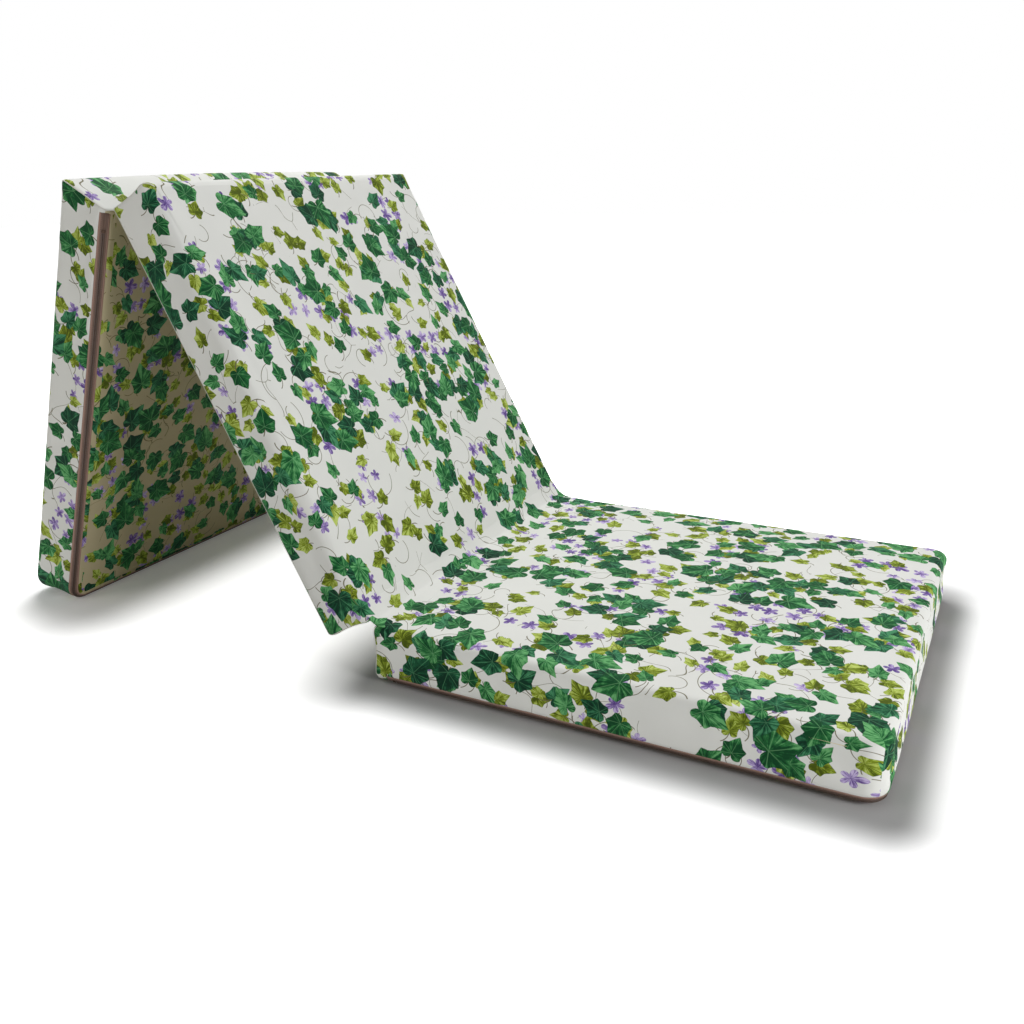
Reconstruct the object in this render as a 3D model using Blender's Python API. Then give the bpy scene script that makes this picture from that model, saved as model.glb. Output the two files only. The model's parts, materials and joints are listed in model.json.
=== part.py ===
"""Folding mattress: three zipped foam sections joined edge to edge, shown half folded."""

import math
from collections import namedtuple

import bmesh
import bpy
from mathutils import Matrix, Vector

# Foam sections
SECTION_LENGTH = 0.633
SECTION_WIDTH = 0.620
SECTION_HEIGHT = 0.080
TOP_EDGE_RADIUS = 0.012
BASE_EDGE_RADIUS = 0.016
FOLD_EDGE_RADIUS = 0.005
FOLD_END_CORNER_EXTRA = 0.002
FREE_END_CORNER_EXTRA = 0.012
TOP_CROWN = 0.003
CROWN_RAMP = 0.120
SIDE_DRAW_IN = 0.0025
FOAM_ZIP_ROOM = 0.008
FOAM_SIDE_ROOM = 0.0007

# Cloth
COVER_WALL = 0.0010
CLOTH_GAP = 0.00025

# Folds
FOLD_GAP = 0.003
FACE_CLEARANCE = 0.0009
FLAP_WIDTH = 0.015
FLAP_THICKNESS = 0.0008
FLAP_SIDE_MARGIN = 0.024
TOP_SEAM_RADIUS = 0.0016
BASE_SEAM_RADIUS = 0.0010
MIDDLE_LEAN = math.radians(61.2)

# Zips
ZIP_CENTRE_ANGLE = math.radians(40.0)
ZIP_BAND_WIDTH = 0.015
ZIP_TAPE_THICKNESS = 0.0006
ZIP_MIDDLE_GAP = 0.0014
COIL_WIDTH = 0.0014
COIL_HEIGHT = 0.0010
OUTER_ZIP_INSET = 0.026
MIDDLE_ZIP_INSET = 0.075
ZIP_STEP = 0.0005
STOP_LENGTH = 0.003
STOP_WIDTH = 0.0048

# Sliders and pull tabs
SLIDER_LENGTH = 0.010
SLIDER_WIDTH = 0.007
SLIDER_PLATE = 0.0008
SLIDER_FLANGE = 0.0007
SLIDER_POST = 0.0007
SLIDER_CLEARANCE = 0.0003
SLIDER_UNDER_CLEARANCE = 0.0006
CHEEK_THICKNESS = 0.0007
CHEEK_FOOT = 0.0034
BAR_RADIUS = 0.0005
EYE_WALL = 0.00035
PULL_LENGTH = 0.020
PULL_EYE_WIDTH = 0.0033
PULL_WIDTH = 0.0048
PULL_THICKNESS = 0.0008
PULL_GRIP_THICKNESS = 0.0014
PULL_GRIP_LENGTH = 0.004

# Steps of the meshes
CORNER_STEPS = 4
BAR_STEPS = 16
SEAM_STEPS = 20
CAP_SHARES = (0.62, 0.30)
INNER_CAP_SHARES = (0.45,)
SIDE_SHARES = (1 / 3, 2 / 3)
TOP_ARC_SHARES = (1 / 3, 2 / 3, 1.0)
BASE_ARC_SHARES = (0.5, 0.0)
STRAIGHT_SHARES = (0.25, 0.5, 0.75)
END_SHARES = (0.25, 0.5, 0.75)
FLAT_SIDE_SHARE = 0.7

# Shapes of the small parts, as shares of their sizes
COIL_PROFILE_SHARES = ((0.0, 0.0), (0.0, 0.6), (0.3, 1.0), (0.7, 1.0), (1.0, 0.6), (1.0, 0.0))
SLIDER_SHAPE_SHARES = ((-0.5, 0.88), (-0.32, 1.0), (0.25, 1.0), (0.5, 0.9))
EYE_NECK_SHARE = 2.4

Section = namedtuple("Section", "root_on_base end_folds zip_near zip_end inset away")
Station = namedtuple("Station", "u v nu nv top base zipped")

# A section runs from its root end, u = 0, which folds on the top face or on the base.
# Its other end is free, or folds on the base. The zip always runs along the far side.
SECTIONS = {
    "foot": Section(False, False, True, True, OUTER_ZIP_INSET, 1),
    "middle": Section(False, True, False, False, MIDDLE_ZIP_INSET, -1),
    "head": Section(True, False, True, True, OUTER_ZIP_INSET, 1),
}

SEAM_ANGLE = math.pi / 4
TOP_FOLD_RISE = TOP_CROWN + FACE_CLEARANCE
BASE_FOLD_RISE = FLAP_THICKNESS + CLOTH_GAP + FACE_CLEARANCE
FOLD_END_CORNER = BASE_EDGE_RADIUS + FOLD_END_CORNER_EXTRA
FREE_END_CORNER = BASE_EDGE_RADIUS + FREE_END_CORNER_EXTRA
FLAT_MARGIN = FOLD_EDGE_RADIUS + FLAP_WIDTH + COVER_WALL
HALF_BAND = ZIP_BAND_WIDTH / 2 / BASE_EDGE_RADIUS
ZIP_TOP_ANGLE = ZIP_CENTRE_ANGLE - HALF_BAND
ZIP_BASE_ANGLE = ZIP_CENTRE_ANGLE + HALF_BAND


def clear_scene():
    for old in list(bpy.data.objects):
        bpy.data.objects.remove(old, do_unlink=True)


def make_material(name, colour, roughness, metallic=0.0):
    material = bpy.data.materials.new(name)
    material.use_nodes = True
    shader = material.node_tree.nodes["Principled BSDF"]
    shader.inputs["Base Color"].default_value = (*colour, 1.0)
    shader.inputs["Roughness"].default_value = roughness
    shader.inputs["Metallic"].default_value = metallic
    return material


def make_object(name, vertices, faces, material, parent, smooth=True, crease=40.0):
    mesh = bpy.data.meshes.new(name)
    mesh.from_pydata([tuple(v) for v in vertices], [], faces)
    work = bmesh.new()
    work.from_mesh(mesh)
    bmesh.ops.recalc_face_normals(work, faces=work.faces)
    work.to_mesh(mesh)
    work.free()
    if smooth:
        mesh.shade_smooth()
        mesh.set_sharp_from_angle(angle=math.radians(crease))
    mesh.materials.append(material)
    made = bpy.data.objects.new(name, mesh)
    bpy.context.scene.collection.objects.link(made)
    made.parent = parent
    return made


def make_empty(name, location, turn=0.0, parent=None):
    empty = bpy.data.objects.new(name, None)
    bpy.context.scene.collection.objects.link(empty)
    empty.location = location
    empty.rotation_euler = (0.0, turn, 0.0)
    empty.parent = parent
    return empty


def smooth_step(share):
    share = min(max(share, 0.0), 1.0)
    return share * share * (3.0 - 2.0 * share)


# Outline of a section

def end_corners(section):
    return FOLD_END_CORNER, FOLD_END_CORNER if section.end_folds else FREE_END_CORNER


def edge_radii(section, root_weight, end_weight):
    root_top = TOP_EDGE_RADIUS if section.root_on_base else FOLD_EDGE_RADIUS
    root_base = FOLD_EDGE_RADIUS if section.root_on_base else BASE_EDGE_RADIUS
    end_base = FOLD_EDGE_RADIUS if section.end_folds else BASE_EDGE_RADIUS
    top = TOP_EDGE_RADIUS + root_weight * (root_top - TOP_EDGE_RADIUS)
    base = BASE_EDGE_RADIUS + root_weight * (root_base - BASE_EDGE_RADIUS)
    base += end_weight * (end_base - BASE_EDGE_RADIUS)
    return top, base


def side_positions(section):
    root_corner, end_corner = end_corners(section)
    first = section.inset
    last = SECTION_LENGTH - end_corner
    if not section.zip_end:
        last = SECTION_LENGTH - section.inset
    marks = [root_corner, first - ZIP_STEP, first]
    marks += [first + share * (last - first) for share in STRAIGHT_SHARES]
    marks.append(last)
    if not section.zip_end:
        marks += [last + ZIP_STEP, SECTION_LENGTH - end_corner]
    return marks, first, last


def outline(section):
    root_corner, end_corner = end_corners(section)
    marks, first, last = side_positions(section)
    half = SECTION_WIDTH / 2
    stations = []

    def add(u, v, nu, nv, root_weight, end_weight, zipped):
        top, base = edge_radii(section, root_weight, end_weight)
        stations.append(Station(u, v, nu, nv, top, base, zipped))

    def add_corner(centre_u, centre_v, radius, start, at_root, into_end, zipped):
        for step in range(1, CORNER_STEPS):
            share = step / CORNER_STEPS
            angle = start + share * math.pi / 2
            weight = smooth_step(share if into_end else 1.0 - share)
            nu, nv = math.cos(angle), math.sin(angle)
            root_weight, end_weight = (weight, 0.0) if at_root else (0.0, weight)
            u, v = centre_u + radius * nu, centre_v + radius * nv
            add(u, v, nu, nv, root_weight, end_weight, zipped)

    for u in marks:
        add(u, -half, 0.0, -1.0, 0.0, 0.0, section.zip_near and first <= u <= last)
    centre = SECTION_LENGTH - end_corner
    lane = half - end_corner
    add_corner(centre, -lane, end_corner, -math.pi / 2, False, True, section.zip_end)
    for share in (0.0, *END_SHARES, 1.0):
        add(SECTION_LENGTH, lane * (2 * share - 1), 1.0, 0.0, 0.0, 1.0, section.zip_end)
    add_corner(centre, lane, end_corner, 0.0, False, False, section.zip_end)
    for u in reversed(marks):
        add(u, half, 0.0, 1.0, 0.0, 0.0, first <= u <= last)
    lane = half - root_corner
    add_corner(root_corner, lane, root_corner, math.pi / 2, True, True, False)
    for share in (0.0, *END_SHARES, 1.0):
        add(0.0, lane * (1 - 2 * share), -1.0, 0.0, 1.0, 0.0, False)
    add_corner(root_corner, -lane, root_corner, math.pi, True, False, False)
    return stations


def crown_share(u, v):
    """How far a point is from every edge, as 0 at the flat margin and 1 on the crown."""
    from_end = min(u, SECTION_LENGTH - u) - FLAT_MARGIN
    from_side = SECTION_WIDTH / 2 - abs(v) - FLAT_MARGIN
    return smooth_step(from_end / CROWN_RAMP) * smooth_step(from_side / CROWN_RAMP)


# Rings of points round a section, skin being the depth under its outside

def base_arc_ring(stations, skin, angles, extra=None, room=0.0):
    ring = []
    for station, angle in zip(stations, angles):
        more = extra[len(ring)] if extra else 0.0
        radius = station.base - skin + more
        inset = skin + radius * (1.0 - math.cos(angle)) + lean_in(station, more) + room
        ring.append(inset_point(station, inset, skin + radius * (1.0 - math.sin(angle))))
    return ring


def side_draw(station, share):
    facing = max(abs(station.nu), abs(station.nv))
    straight = smooth_step((facing - FLAT_SIDE_SHARE) / (1.0 - FLAT_SIDE_SHARE))
    return SIDE_DRAW_IN * 4 * share * (1 - share) * straight


def lean_in(station, above):
    """The draw of a side a little above its lower end, where it has not bent yet."""
    first = SIDE_SHARES[0]
    height = SECTION_HEIGHT - station.top - station.base
    return side_draw(station, first) * above / (first * height)


def top_arc_ring(stations, skin, share, room=0.0):
    angle = share * math.pi / 2
    ring = []
    for station in stations:
        radius = station.top - skin
        inset = station.top - (radius - room) * math.cos(angle)
        rise = SECTION_HEIGHT - station.top + radius * math.sin(angle)
        ring.append(inset_point(station, inset, rise))
    return ring


def side_ring(stations, skin, share):
    ring = []
    for station in stations:
        high = SECTION_HEIGHT - station.top
        rise = station.base + share * (high - station.base)
        ring.append(inset_point(station, skin + side_draw(station, share), rise))
    return ring


def inset_point(station, inset, height):
    u = station.u - station.nu * inset
    v = station.v - station.nv * inset
    return Vector((u, v, height))


def margin_ring(stations, skin):
    along = 1.0 - 2 * FLAT_MARGIN / SECTION_LENGTH
    across = 1.0 - 2 * FLAT_MARGIN / SECTION_WIDTH
    return scaled_ring(stations, skin, along, across)


def scaled_ring(stations, skin, along, across):
    middle = SECTION_LENGTH / 2
    ring = []
    for station in stations:
        u = middle + (station.u - middle) * along
        v = station.v * across
        lift = TOP_CROWN * crown_share(u, v)
        ring.append(Vector((u, v, SECTION_HEIGHT - skin + lift)))
    return ring


def top_middle(skin):
    return Vector((SECTION_LENGTH / 2, 0.0, SECTION_HEIGHT - skin + TOP_CROWN))


# Closed bodies out of rings

def join_rings(rings, start, faces):
    count = len(rings[0])
    for row in range(len(rings) - 1):
        for column in range(count):
            after = (column + 1) % count
            low = start + row * count
            high = low + count
            faces.append((low + column, low + after, high + after, high + column))


def shell_body(outer_rings, outer_middle, inner_rings, inner_middle):
    count = len(outer_rings[0])
    vertices, faces = [], []
    for rings, middle in ((outer_rings, outer_middle), (inner_rings, inner_middle)):
        start = len(vertices)
        for ring in rings:
            vertices += ring
        join_rings(rings, start, faces)
        last = start + (len(rings) - 1) * count
        vertices.append(middle)
        tip = len(vertices) - 1
        faces += [(last + i, last + (i + 1) % count, tip) for i in range(count)]
    inner = len(outer_rings) * count + 1
    faces += [(i, (i + 1) % count, inner + (i + 1) % count, inner + i) for i in range(count)]
    return vertices, faces


def solid_body(rings, first_middle, last_middle):
    count = len(rings[0])
    vertices = [point for ring in rings for point in ring]
    faces = []
    join_rings(rings, 0, faces)
    vertices += [first_middle, last_middle]
    low, high = len(vertices) - 2, len(vertices) - 1
    last = (len(rings) - 1) * count
    faces += [(i, (i + 1) % count, low) for i in range(count)]
    faces += [(last + i, last + (i + 1) % count, high) for i in range(count)]
    return vertices, faces


def open_sweep(sections):
    count = len(sections[0])
    vertices = [point for points in sections for point in points]
    faces = []
    join_rings(sections, 0, faces)
    faces.append(tuple(range(count)))
    last = (len(sections) - 1) * count
    faces.append(tuple(last + i for i in range(count)))
    return vertices, faces


# Soft parts of one section

def cover_rings(stations, skin, cap_shares):
    rims = []
    for station in stations:
        shift = CLOTH_GAP / station.base
        rims.append(ZIP_TOP_ANGLE - shift if station.zipped else SEAM_ANGLE - shift / 2)
    rings = [base_arc_ring(stations, skin, rims)]
    for share in BASE_ARC_SHARES:
        rings.append(base_arc_ring(stations, skin, [rim * share for rim in rims]))
    rings += [side_ring(stations, skin, share) for share in SIDE_SHARES]
    rings += [top_arc_ring(stations, skin, share) for share in (0.0, *TOP_ARC_SHARES)]
    rings.append(margin_ring(stations, skin))
    rings += [scaled_ring(stations, skin, share, share) for share in cap_shares]
    return rings


def cover_body(stations):
    outer = cover_rings(stations, 0.0, CAP_SHARES)
    inner = cover_rings(stations, COVER_WALL, INNER_CAP_SHARES)
    return shell_body(outer, top_middle(0.0), inner, top_middle(COVER_WALL))


def base_panel_body(stations):
    rims = []
    for station in stations:
        shift = CLOTH_GAP / station.base
        rims.append(ZIP_BASE_ANGLE + shift if station.zipped else SEAM_ANGLE + shift / 2)
    right = math.pi / 2
    bent = [(rim + right) / 2 for rim in rims]
    flat = [right] * len(stations)
    middle = SECTION_LENGTH / 2
    layers = []
    for skin in (0.0, COVER_WALL):
        layers.append([base_arc_ring(stations, skin, angles) for angles in (rims, bent, flat)])
    below = Vector((middle, 0.0, 0.0))
    above = Vector((middle, 0.0, COVER_WALL))
    return shell_body(layers[0], below, layers[1], above)


def foam_body(stations):
    skin = COVER_WALL + CLOTH_GAP
    right = math.pi / 2
    extra = [FOAM_ZIP_ROOM if station.zipped else 0.0 for station in stations]
    rings = []
    room = FOAM_SIDE_ROOM
    for share in (1.0, *BASE_ARC_SHARES):
        angles = [right * share] * len(stations)
        rings.append(base_arc_ring(stations, skin, angles, extra, room))
    rings += [side_ring(stations, skin + room, share) for share in SIDE_SHARES]
    rings += [top_arc_ring(stations, skin, share, room) for share in (0.0, *TOP_ARC_SHARES)]
    rings.append(margin_ring(stations, skin))
    rings += [scaled_ring(stations, skin, share, share) for share in INNER_CAP_SHARES]
    under = Vector((SECTION_LENGTH / 2, 0.0, skin))
    return solid_body(rings, under, top_middle(skin))


# Zips

def zip_stations(section, stations):
    """The stations of a zip in order, from its near end to the end with the slider."""
    zipped = [station for station in stations if station.zipped]
    if section.zip_near:
        return zipped
    return [station for station in zipped if station.nv > 0.5]


def arc_point(station, angle, skin):
    radius = station.base - skin
    inset = station.base - radius * math.cos(angle)
    return inset_point(station, inset, station.base - radius * math.sin(angle))


def strip_body(path, angles, outer_skin, inner_skin):
    sections = []
    for station in path:
        outside = [arc_point(station, angle, outer_skin) for angle in angles]
        inside = [arc_point(station, angle, inner_skin) for angle in reversed(angles)]
        sections.append(outside + inside)
    return open_sweep(sections)


def shortened(path, amount):
    """The path with both of its ends moved inwards along the straight sides."""
    first, second = path[0], path[1]
    toward = 1.0 if second.u > first.u else -1.0
    new_first = first._replace(u=first.u + toward * amount)
    last, before = path[-1], path[-2]
    toward = 1.0 if before.u > last.u else -1.0
    return [new_first, *path[1:-1], last._replace(u=last.u + toward * amount)]


def tape_angles(side):
    middle = ZIP_MIDDLE_GAP / 2 / BASE_EDGE_RADIUS
    near, far = ZIP_CENTRE_ANGLE + side * middle, ZIP_CENTRE_ANGLE + side * HALF_BAND
    return [near + share * (far - near) for share in (0.0, *SIDE_SHARES, 1.0)]


def coil_profile(side):
    """The angle round the base edge and the height over it of each corner of a coil."""
    near = ZIP_CENTRE_ANGLE + side * ZIP_MIDDLE_GAP / 2 / BASE_EDGE_RADIUS
    width = side * COIL_WIDTH / BASE_EDGE_RADIUS
    corners = []
    for across_share, height_share in COIL_PROFILE_SHARES:
        corners.append((near + across_share * width, CLOTH_GAP + height_share * COIL_HEIGHT))
    return corners


def coil_body(path, side):
    profile = coil_profile(side)
    sections = []
    for station in path:
        sections.append([arc_point(station, angle, -lift) for angle, lift in profile])
    return open_sweep(sections)


def zip_frame(station_u, side):
    """A point on the zip of one straight side, 1 for the far one, and the way out there."""
    out = Vector((0.0, side * math.cos(ZIP_CENTRE_ANGLE), -math.sin(ZIP_CENTRE_ANGLE)))
    centre_v = side * (SECTION_WIDTH / 2 - BASE_EDGE_RADIUS)
    centre = Vector((station_u, centre_v, BASE_EDGE_RADIUS))
    return centre + out * BASE_EDGE_RADIUS, out


def stop_body():
    half, low, high = STOP_WIDTH / 2, CLOTH_GAP, CLOTH_GAP + COIL_HEIGHT
    edge = COIL_HEIGHT / 2
    profile = ((-half, low), (half, low), (half, edge), (half - edge, high))
    profile += ((edge - half, high), (-half, edge))
    sections = []
    for along in (-STOP_LENGTH / 2, STOP_LENGTH / 2):
        sections.append([Vector((along, across, out)) for across, out in profile])
    return open_sweep(sections)


# Slider, in its own frame: x away from the closed end, y across, z outwards

def slider_levels():
    coil_top = CLOTH_GAP + COIL_HEIGHT
    plate_low = coil_top + SLIDER_CLEARANCE
    plate_high = plate_low + SLIDER_PLATE
    under_high = -ZIP_TAPE_THICKNESS - SLIDER_UNDER_CLEARANCE
    under_low = under_high - SLIDER_PLATE
    bar = plate_high + SLIDER_CLEARANCE + BAR_RADIUS + SLIDER_CLEARANCE + EYE_WALL
    return plate_low, plate_high, under_low, under_high, bar


def slider_frame_body():
    plate_low, plate_high, under_low, under_high, _ = slider_levels()
    half, post = SLIDER_WIDTH / 2, SLIDER_POST / 2
    lip = half - SLIDER_FLANGE
    lip_low = SLIDER_CLEARANCE
    right_side = [(half, under_low), (half, under_high), (post, under_high)]
    right_side += [(post, plate_low), (lip, plate_low), (lip, lip_low)]
    right_side += [(half, lip_low), (half, plate_high)]
    left_side = [(-across, out) for across, out in reversed(right_side)]
    sections = []
    for along_share, width_share in SLIDER_SHAPE_SHARES:
        points = []
        for across, out in right_side + left_side:
            scaled = across if abs(across) <= post else across * width_share
            points.append(Vector((along_share * SLIDER_LENGTH, scaled, out)))
        sections.append(points)
    return open_sweep(sections)


def cheek_body(side):
    _, plate_high, _, _, bar = slider_levels()
    radius = BAR_RADIUS + SLIDER_CLEARANCE
    inner = PULL_EYE_WIDTH / 2 + SLIDER_CLEARANCE
    outline_points = [(-CHEEK_FOOT / 2, plate_high - SLIDER_PLATE / 2)]
    outline_points.append((CHEEK_FOOT / 2, plate_high - SLIDER_PLATE / 2))
    for step in range(7):
        angle = step * math.pi / 6
        outline_points.append((radius * math.cos(angle), bar + radius * math.sin(angle)))
    sections = []
    for across in (side * inner, side * (inner + CHEEK_THICKNESS)):
        sections.append([Vector((along, across, out)) for along, out in outline_points])
    return open_sweep(sections)


def rod_body(radius, half_length, centre, steps):
    sections = []
    for across in (-half_length, half_length):
        ring = []
        for step in range(steps):
            angle = (step + 0.5) * 2 * math.pi / steps
            along, out = radius * math.cos(angle), radius * math.sin(angle)
            ring.append(centre + Vector((along, across, out)))
        sections.append(ring)
    return open_sweep(sections)


def union_into(target, extra):
    modifier = target.modifiers.new("join", "BOOLEAN")
    modifier.operation = "UNION"
    modifier.solver = "EXACT"
    modifier.object = extra
    bpy.context.view_layer.update()
    graph = bpy.context.evaluated_depsgraph_get()
    joined = bpy.data.meshes.new_from_object(target.evaluated_get(graph))
    target.modifiers.clear()
    target.data = joined
    bpy.data.objects.remove(extra, do_unlink=True)


def build_slider(name, material, parent):
    _, _, _, _, bar = slider_levels()
    slider = make_object(name, *slider_frame_body(), material, parent, smooth=False)
    cheek_reach = PULL_EYE_WIDTH / 2 + SLIDER_CLEARANCE + CHEEK_THICKNESS / 2
    rod = rod_body(BAR_RADIUS, cheek_reach, Vector((0.0, 0.0, bar)), BAR_STEPS)
    extras = [cheek_body(1), cheek_body(-1), rod]
    for number, extra in enumerate(extras):
        helper = make_object(f"{name}_helper_{number}", *extra, material, parent, smooth=False)
        union_into(slider, helper)
    slider.data.shade_smooth()
    slider.data.set_sharp_from_angle(angle=math.radians(30.0))
    return slider


def pull_body():
    """An eye round the slider's bar and a tab that lies along the zip."""
    inner = BAR_RADIUS + SLIDER_CLEARANCE
    outer = inner + EYE_WALL
    half = PULL_EYE_WIDTH / 2
    vertices, faces = [], []
    for across in (-half, half):
        for radius in (inner, outer):
            for step in range(BAR_STEPS):
                angle = (step + 0.5) * 2 * math.pi / BAR_STEPS
                along, out = radius * math.cos(angle), radius * math.sin(angle)
                vertices.append(Vector((along, across, out)))
    layer = 2 * BAR_STEPS
    last = BAR_STEPS - 1
    for step in range(BAR_STEPS):
        after = (step + 1) % BAR_STEPS
        faces.append((step, after, layer + after, layer + step))
        for base in (0, layer):
            rim = base + BAR_STEPS
            faces.append((base + step, base + after, rim + after, rim + step))
        if step != last:
            low, high = BAR_STEPS, layer + BAR_STEPS
            faces.append((low + step, low + after, high + after, high + step))
    ring = [BAR_STEPS, BAR_STEPS + last, layer + BAR_STEPS + last, layer + BAR_STEPS]
    eye_end = outer * EYE_NECK_SHARE
    grip = PULL_LENGTH - PULL_GRIP_LENGTH
    thin, thick = PULL_THICKNESS / 2, PULL_GRIP_THICKNESS / 2
    wide = PULL_WIDTH / 2
    slope = PULL_GRIP_THICKNESS
    stations = ((eye_end, half, thin), (eye_end + slope, wide, thin), (grip, wide, thin))
    stations += ((grip + slope, wide, thick), (PULL_LENGTH - thin, wide, thick))
    stations += ((PULL_LENGTH, wide - thin, thin),)
    for along, across, out in stations:
        start = len(vertices)
        vertices += [Vector((along, -across, out)), Vector((along, -across, -out))]
        vertices += [Vector((along, across, -out)), Vector((along, across, out))]
        after_ring = list(range(start, start + 4))
        for i in range(4):
            j = (i + 1) % 4
            faces.append((ring[i], ring[j], after_ring[j], after_ring[i]))
        ring = after_ring
    faces.append(tuple(ring))
    return vertices, faces


# Folds

def flap_body(rise, seam_radius, on_base, mirrored):
    """A strip lying on a face next to a fold and reaching up to the seam."""
    face = 0.0 if on_base else SECTION_HEIGHT
    sign = -1.0 if on_base else 1.0
    low, high = CLOTH_GAP, CLOTH_GAP + FLAP_THICKNESS
    bend = FOLD_EDGE_RADIUS
    end_u = bend + FLAP_WIDTH
    reach = seam_radius + CLOTH_GAP
    below = CLOTH_GAP / reach
    radial = Vector((math.sqrt(1.0 - below * below), -below))
    upper = Vector((-FOLD_GAP / 2, rise)) + reach * radial
    lower = upper + FLAP_THICKNESS * Vector((radial.y, -radial.x))
    profile = [(end_u, low), (end_u, high), (bend, high), tuple(upper), tuple(lower), (bend, low)]
    half = SECTION_WIDTH / 2 - FLAP_SIDE_MARGIN
    sections = []
    for v in (-half, half):
        points = []
        for u, lift in profile:
            place_u = SECTION_LENGTH - u if mirrored else u
            points.append(Vector((place_u, v, face + sign * lift)))
        sections.append(points)
    return open_sweep(sections)


# Where the folds put the sections

def turned(angle, x, z):
    return x * math.cos(angle) + z * math.sin(angle), z * math.cos(angle) - x * math.sin(angle)


def floor_turn(reach, offset, drop):
    """The turn that brings a point down by drop, from flat beside its fold and over it."""
    return -math.asin(drop / math.hypot(reach, offset)) - math.atan2(offset, reach)


def head_turn():
    """The head section's turn from flat that sets its free end on the floor."""
    between = SECTION_HEIGHT + TOP_FOLD_RISE + BASE_FOLD_RISE
    _, down = turned(MIDDLE_LEAN, -SECTION_LENGTH - FOLD_GAP, -between)
    fold_height = SECTION_HEIGHT + TOP_FOLD_RISE + down
    reach = SECTION_LENGTH + FOLD_GAP / 2 - BASE_EDGE_RADIUS
    offset = BASE_FOLD_RISE + BASE_EDGE_RADIUS
    turns = [floor_turn(reach, offset, fold_height - BASE_EDGE_RADIUS)]
    for angle, lift in coil_profile(-1) + coil_profile(1):
        radius = BASE_EDGE_RADIUS + lift
        along, up = radius * math.cos(angle), radius * math.sin(angle)
        turns.append(floor_turn(reach + along, offset - up, fold_height))
    return max(turns)


def flat_x(name, u):
    """Where a section's u lies on the x axis when the mattress is all flat."""
    shifts = {"middle": -FOLD_GAP, "head": -2 * FOLD_GAP - SECTION_LENGTH}
    return u if name == "foot" else shifts[name] - u


def placed(name, points, fold_x, fold_z):
    return [Vector((flat_x(name, p.x) - fold_x, p.y, p.z - fold_z)) for p in points]


clear_scene()
cover_cloth = make_material("printed_cotton", (0.60, 0.62, 0.50), 0.85)
panel_cloth = make_material("printed_cotton_base", (0.56, 0.58, 0.46), 0.88)
foam = make_material("cream_foam", (0.80, 0.72, 0.48), 0.95)
tape_cloth = make_material("brown_zip_tape", (0.130, 0.062, 0.045), 0.80)
coil_plastic = make_material("brown_zip_coil", (0.26, 0.14, 0.10), 0.45)
slider_metal = make_material("bronzed_slider", (0.24, 0.15, 0.09), 0.38, 0.9)
stop_metal = make_material("bronzed_stop", (0.26, 0.17, 0.11), 0.40, 0.9)
flap_cloth = make_material("printed_cotton_fold", (0.60, 0.62, 0.50), 0.86)
seam_thread = make_material("white_seam", (0.74, 0.73, 0.66), 0.80)

first_fold = (-FOLD_GAP / 2, SECTION_HEIGHT + TOP_FOLD_RISE)
second_fold = (-SECTION_LENGTH - FOLD_GAP - FOLD_GAP / 2, -BASE_FOLD_RISE)
mattress = make_empty("mattress", (0.0, 0.0, 0.0))
middle_fold = make_empty(
    "middle_foot_fold_axis", (first_fold[0], 0.0, first_fold[1]), MIDDLE_LEAN, mattress
)
head_fold = make_empty(
    "head_middle_fold_axis",
    (second_fold[0] - first_fold[0], 0.0, second_fold[1] - first_fold[1]),
    head_turn() - MIDDLE_LEAN,
    middle_fold,
)
parents = {
    "foot": (mattress, 0.0, 0.0),
    "middle": (middle_fold, *first_fold),
    "head": (head_fold, *second_fold),
}


def add_piece(section_name, piece, body, material, smooth=True, crease=40.0):
    parent, fold_x, fold_z = parents[section_name]
    vertices, faces = body
    vertices = placed(section_name, vertices, fold_x, fold_z)
    return make_object(piece, vertices, faces, material, parent, smooth, crease)


def set_frame(piece, section_name, away_u, place, side=1):
    """Turns a piece built in the zip's own frame to lie on the zip of its section."""
    _, fold_x, fold_z = parents[section_name]
    on_zip, out = zip_frame(place, side)
    away = Vector((away_u if section_name == "foot" else -away_u, 0.0, 0.0))
    across = out.cross(away)
    x = flat_x(section_name, on_zip.x) - fold_x
    turn = Matrix((away, across, out)).transposed()
    piece.matrix_local = Matrix.Translation((x, on_zip.y, on_zip.z - fold_z)) @ turn.to_4x4()


def pull_turn(name, slider):
    """How far a pull tab swings out from its zip, hanging free or down to the floor."""
    bpy.context.view_layer.update()
    away, _, out = slider.matrix_world.to_3x3().transposed()
    hanging = math.atan2(-out.z, -away.z)
    bar = slider_levels()[4]
    height = (slider.matrix_world @ Vector((0.0, 0.0, bar))).z
    half = math.cos(ZIP_CENTRE_ANGLE) * PULL_WIDTH / 2
    lowest = height - half - PULL_GRIP_THICKNESS / 2 * math.sin(ZIP_CENTRE_ANGLE)
    on_floor = math.asin(min(1.0, (lowest - CLOTH_GAP) / -out.z / PULL_LENGTH))
    return min(hanging, on_floor) if name == "foot" else hanging


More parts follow.
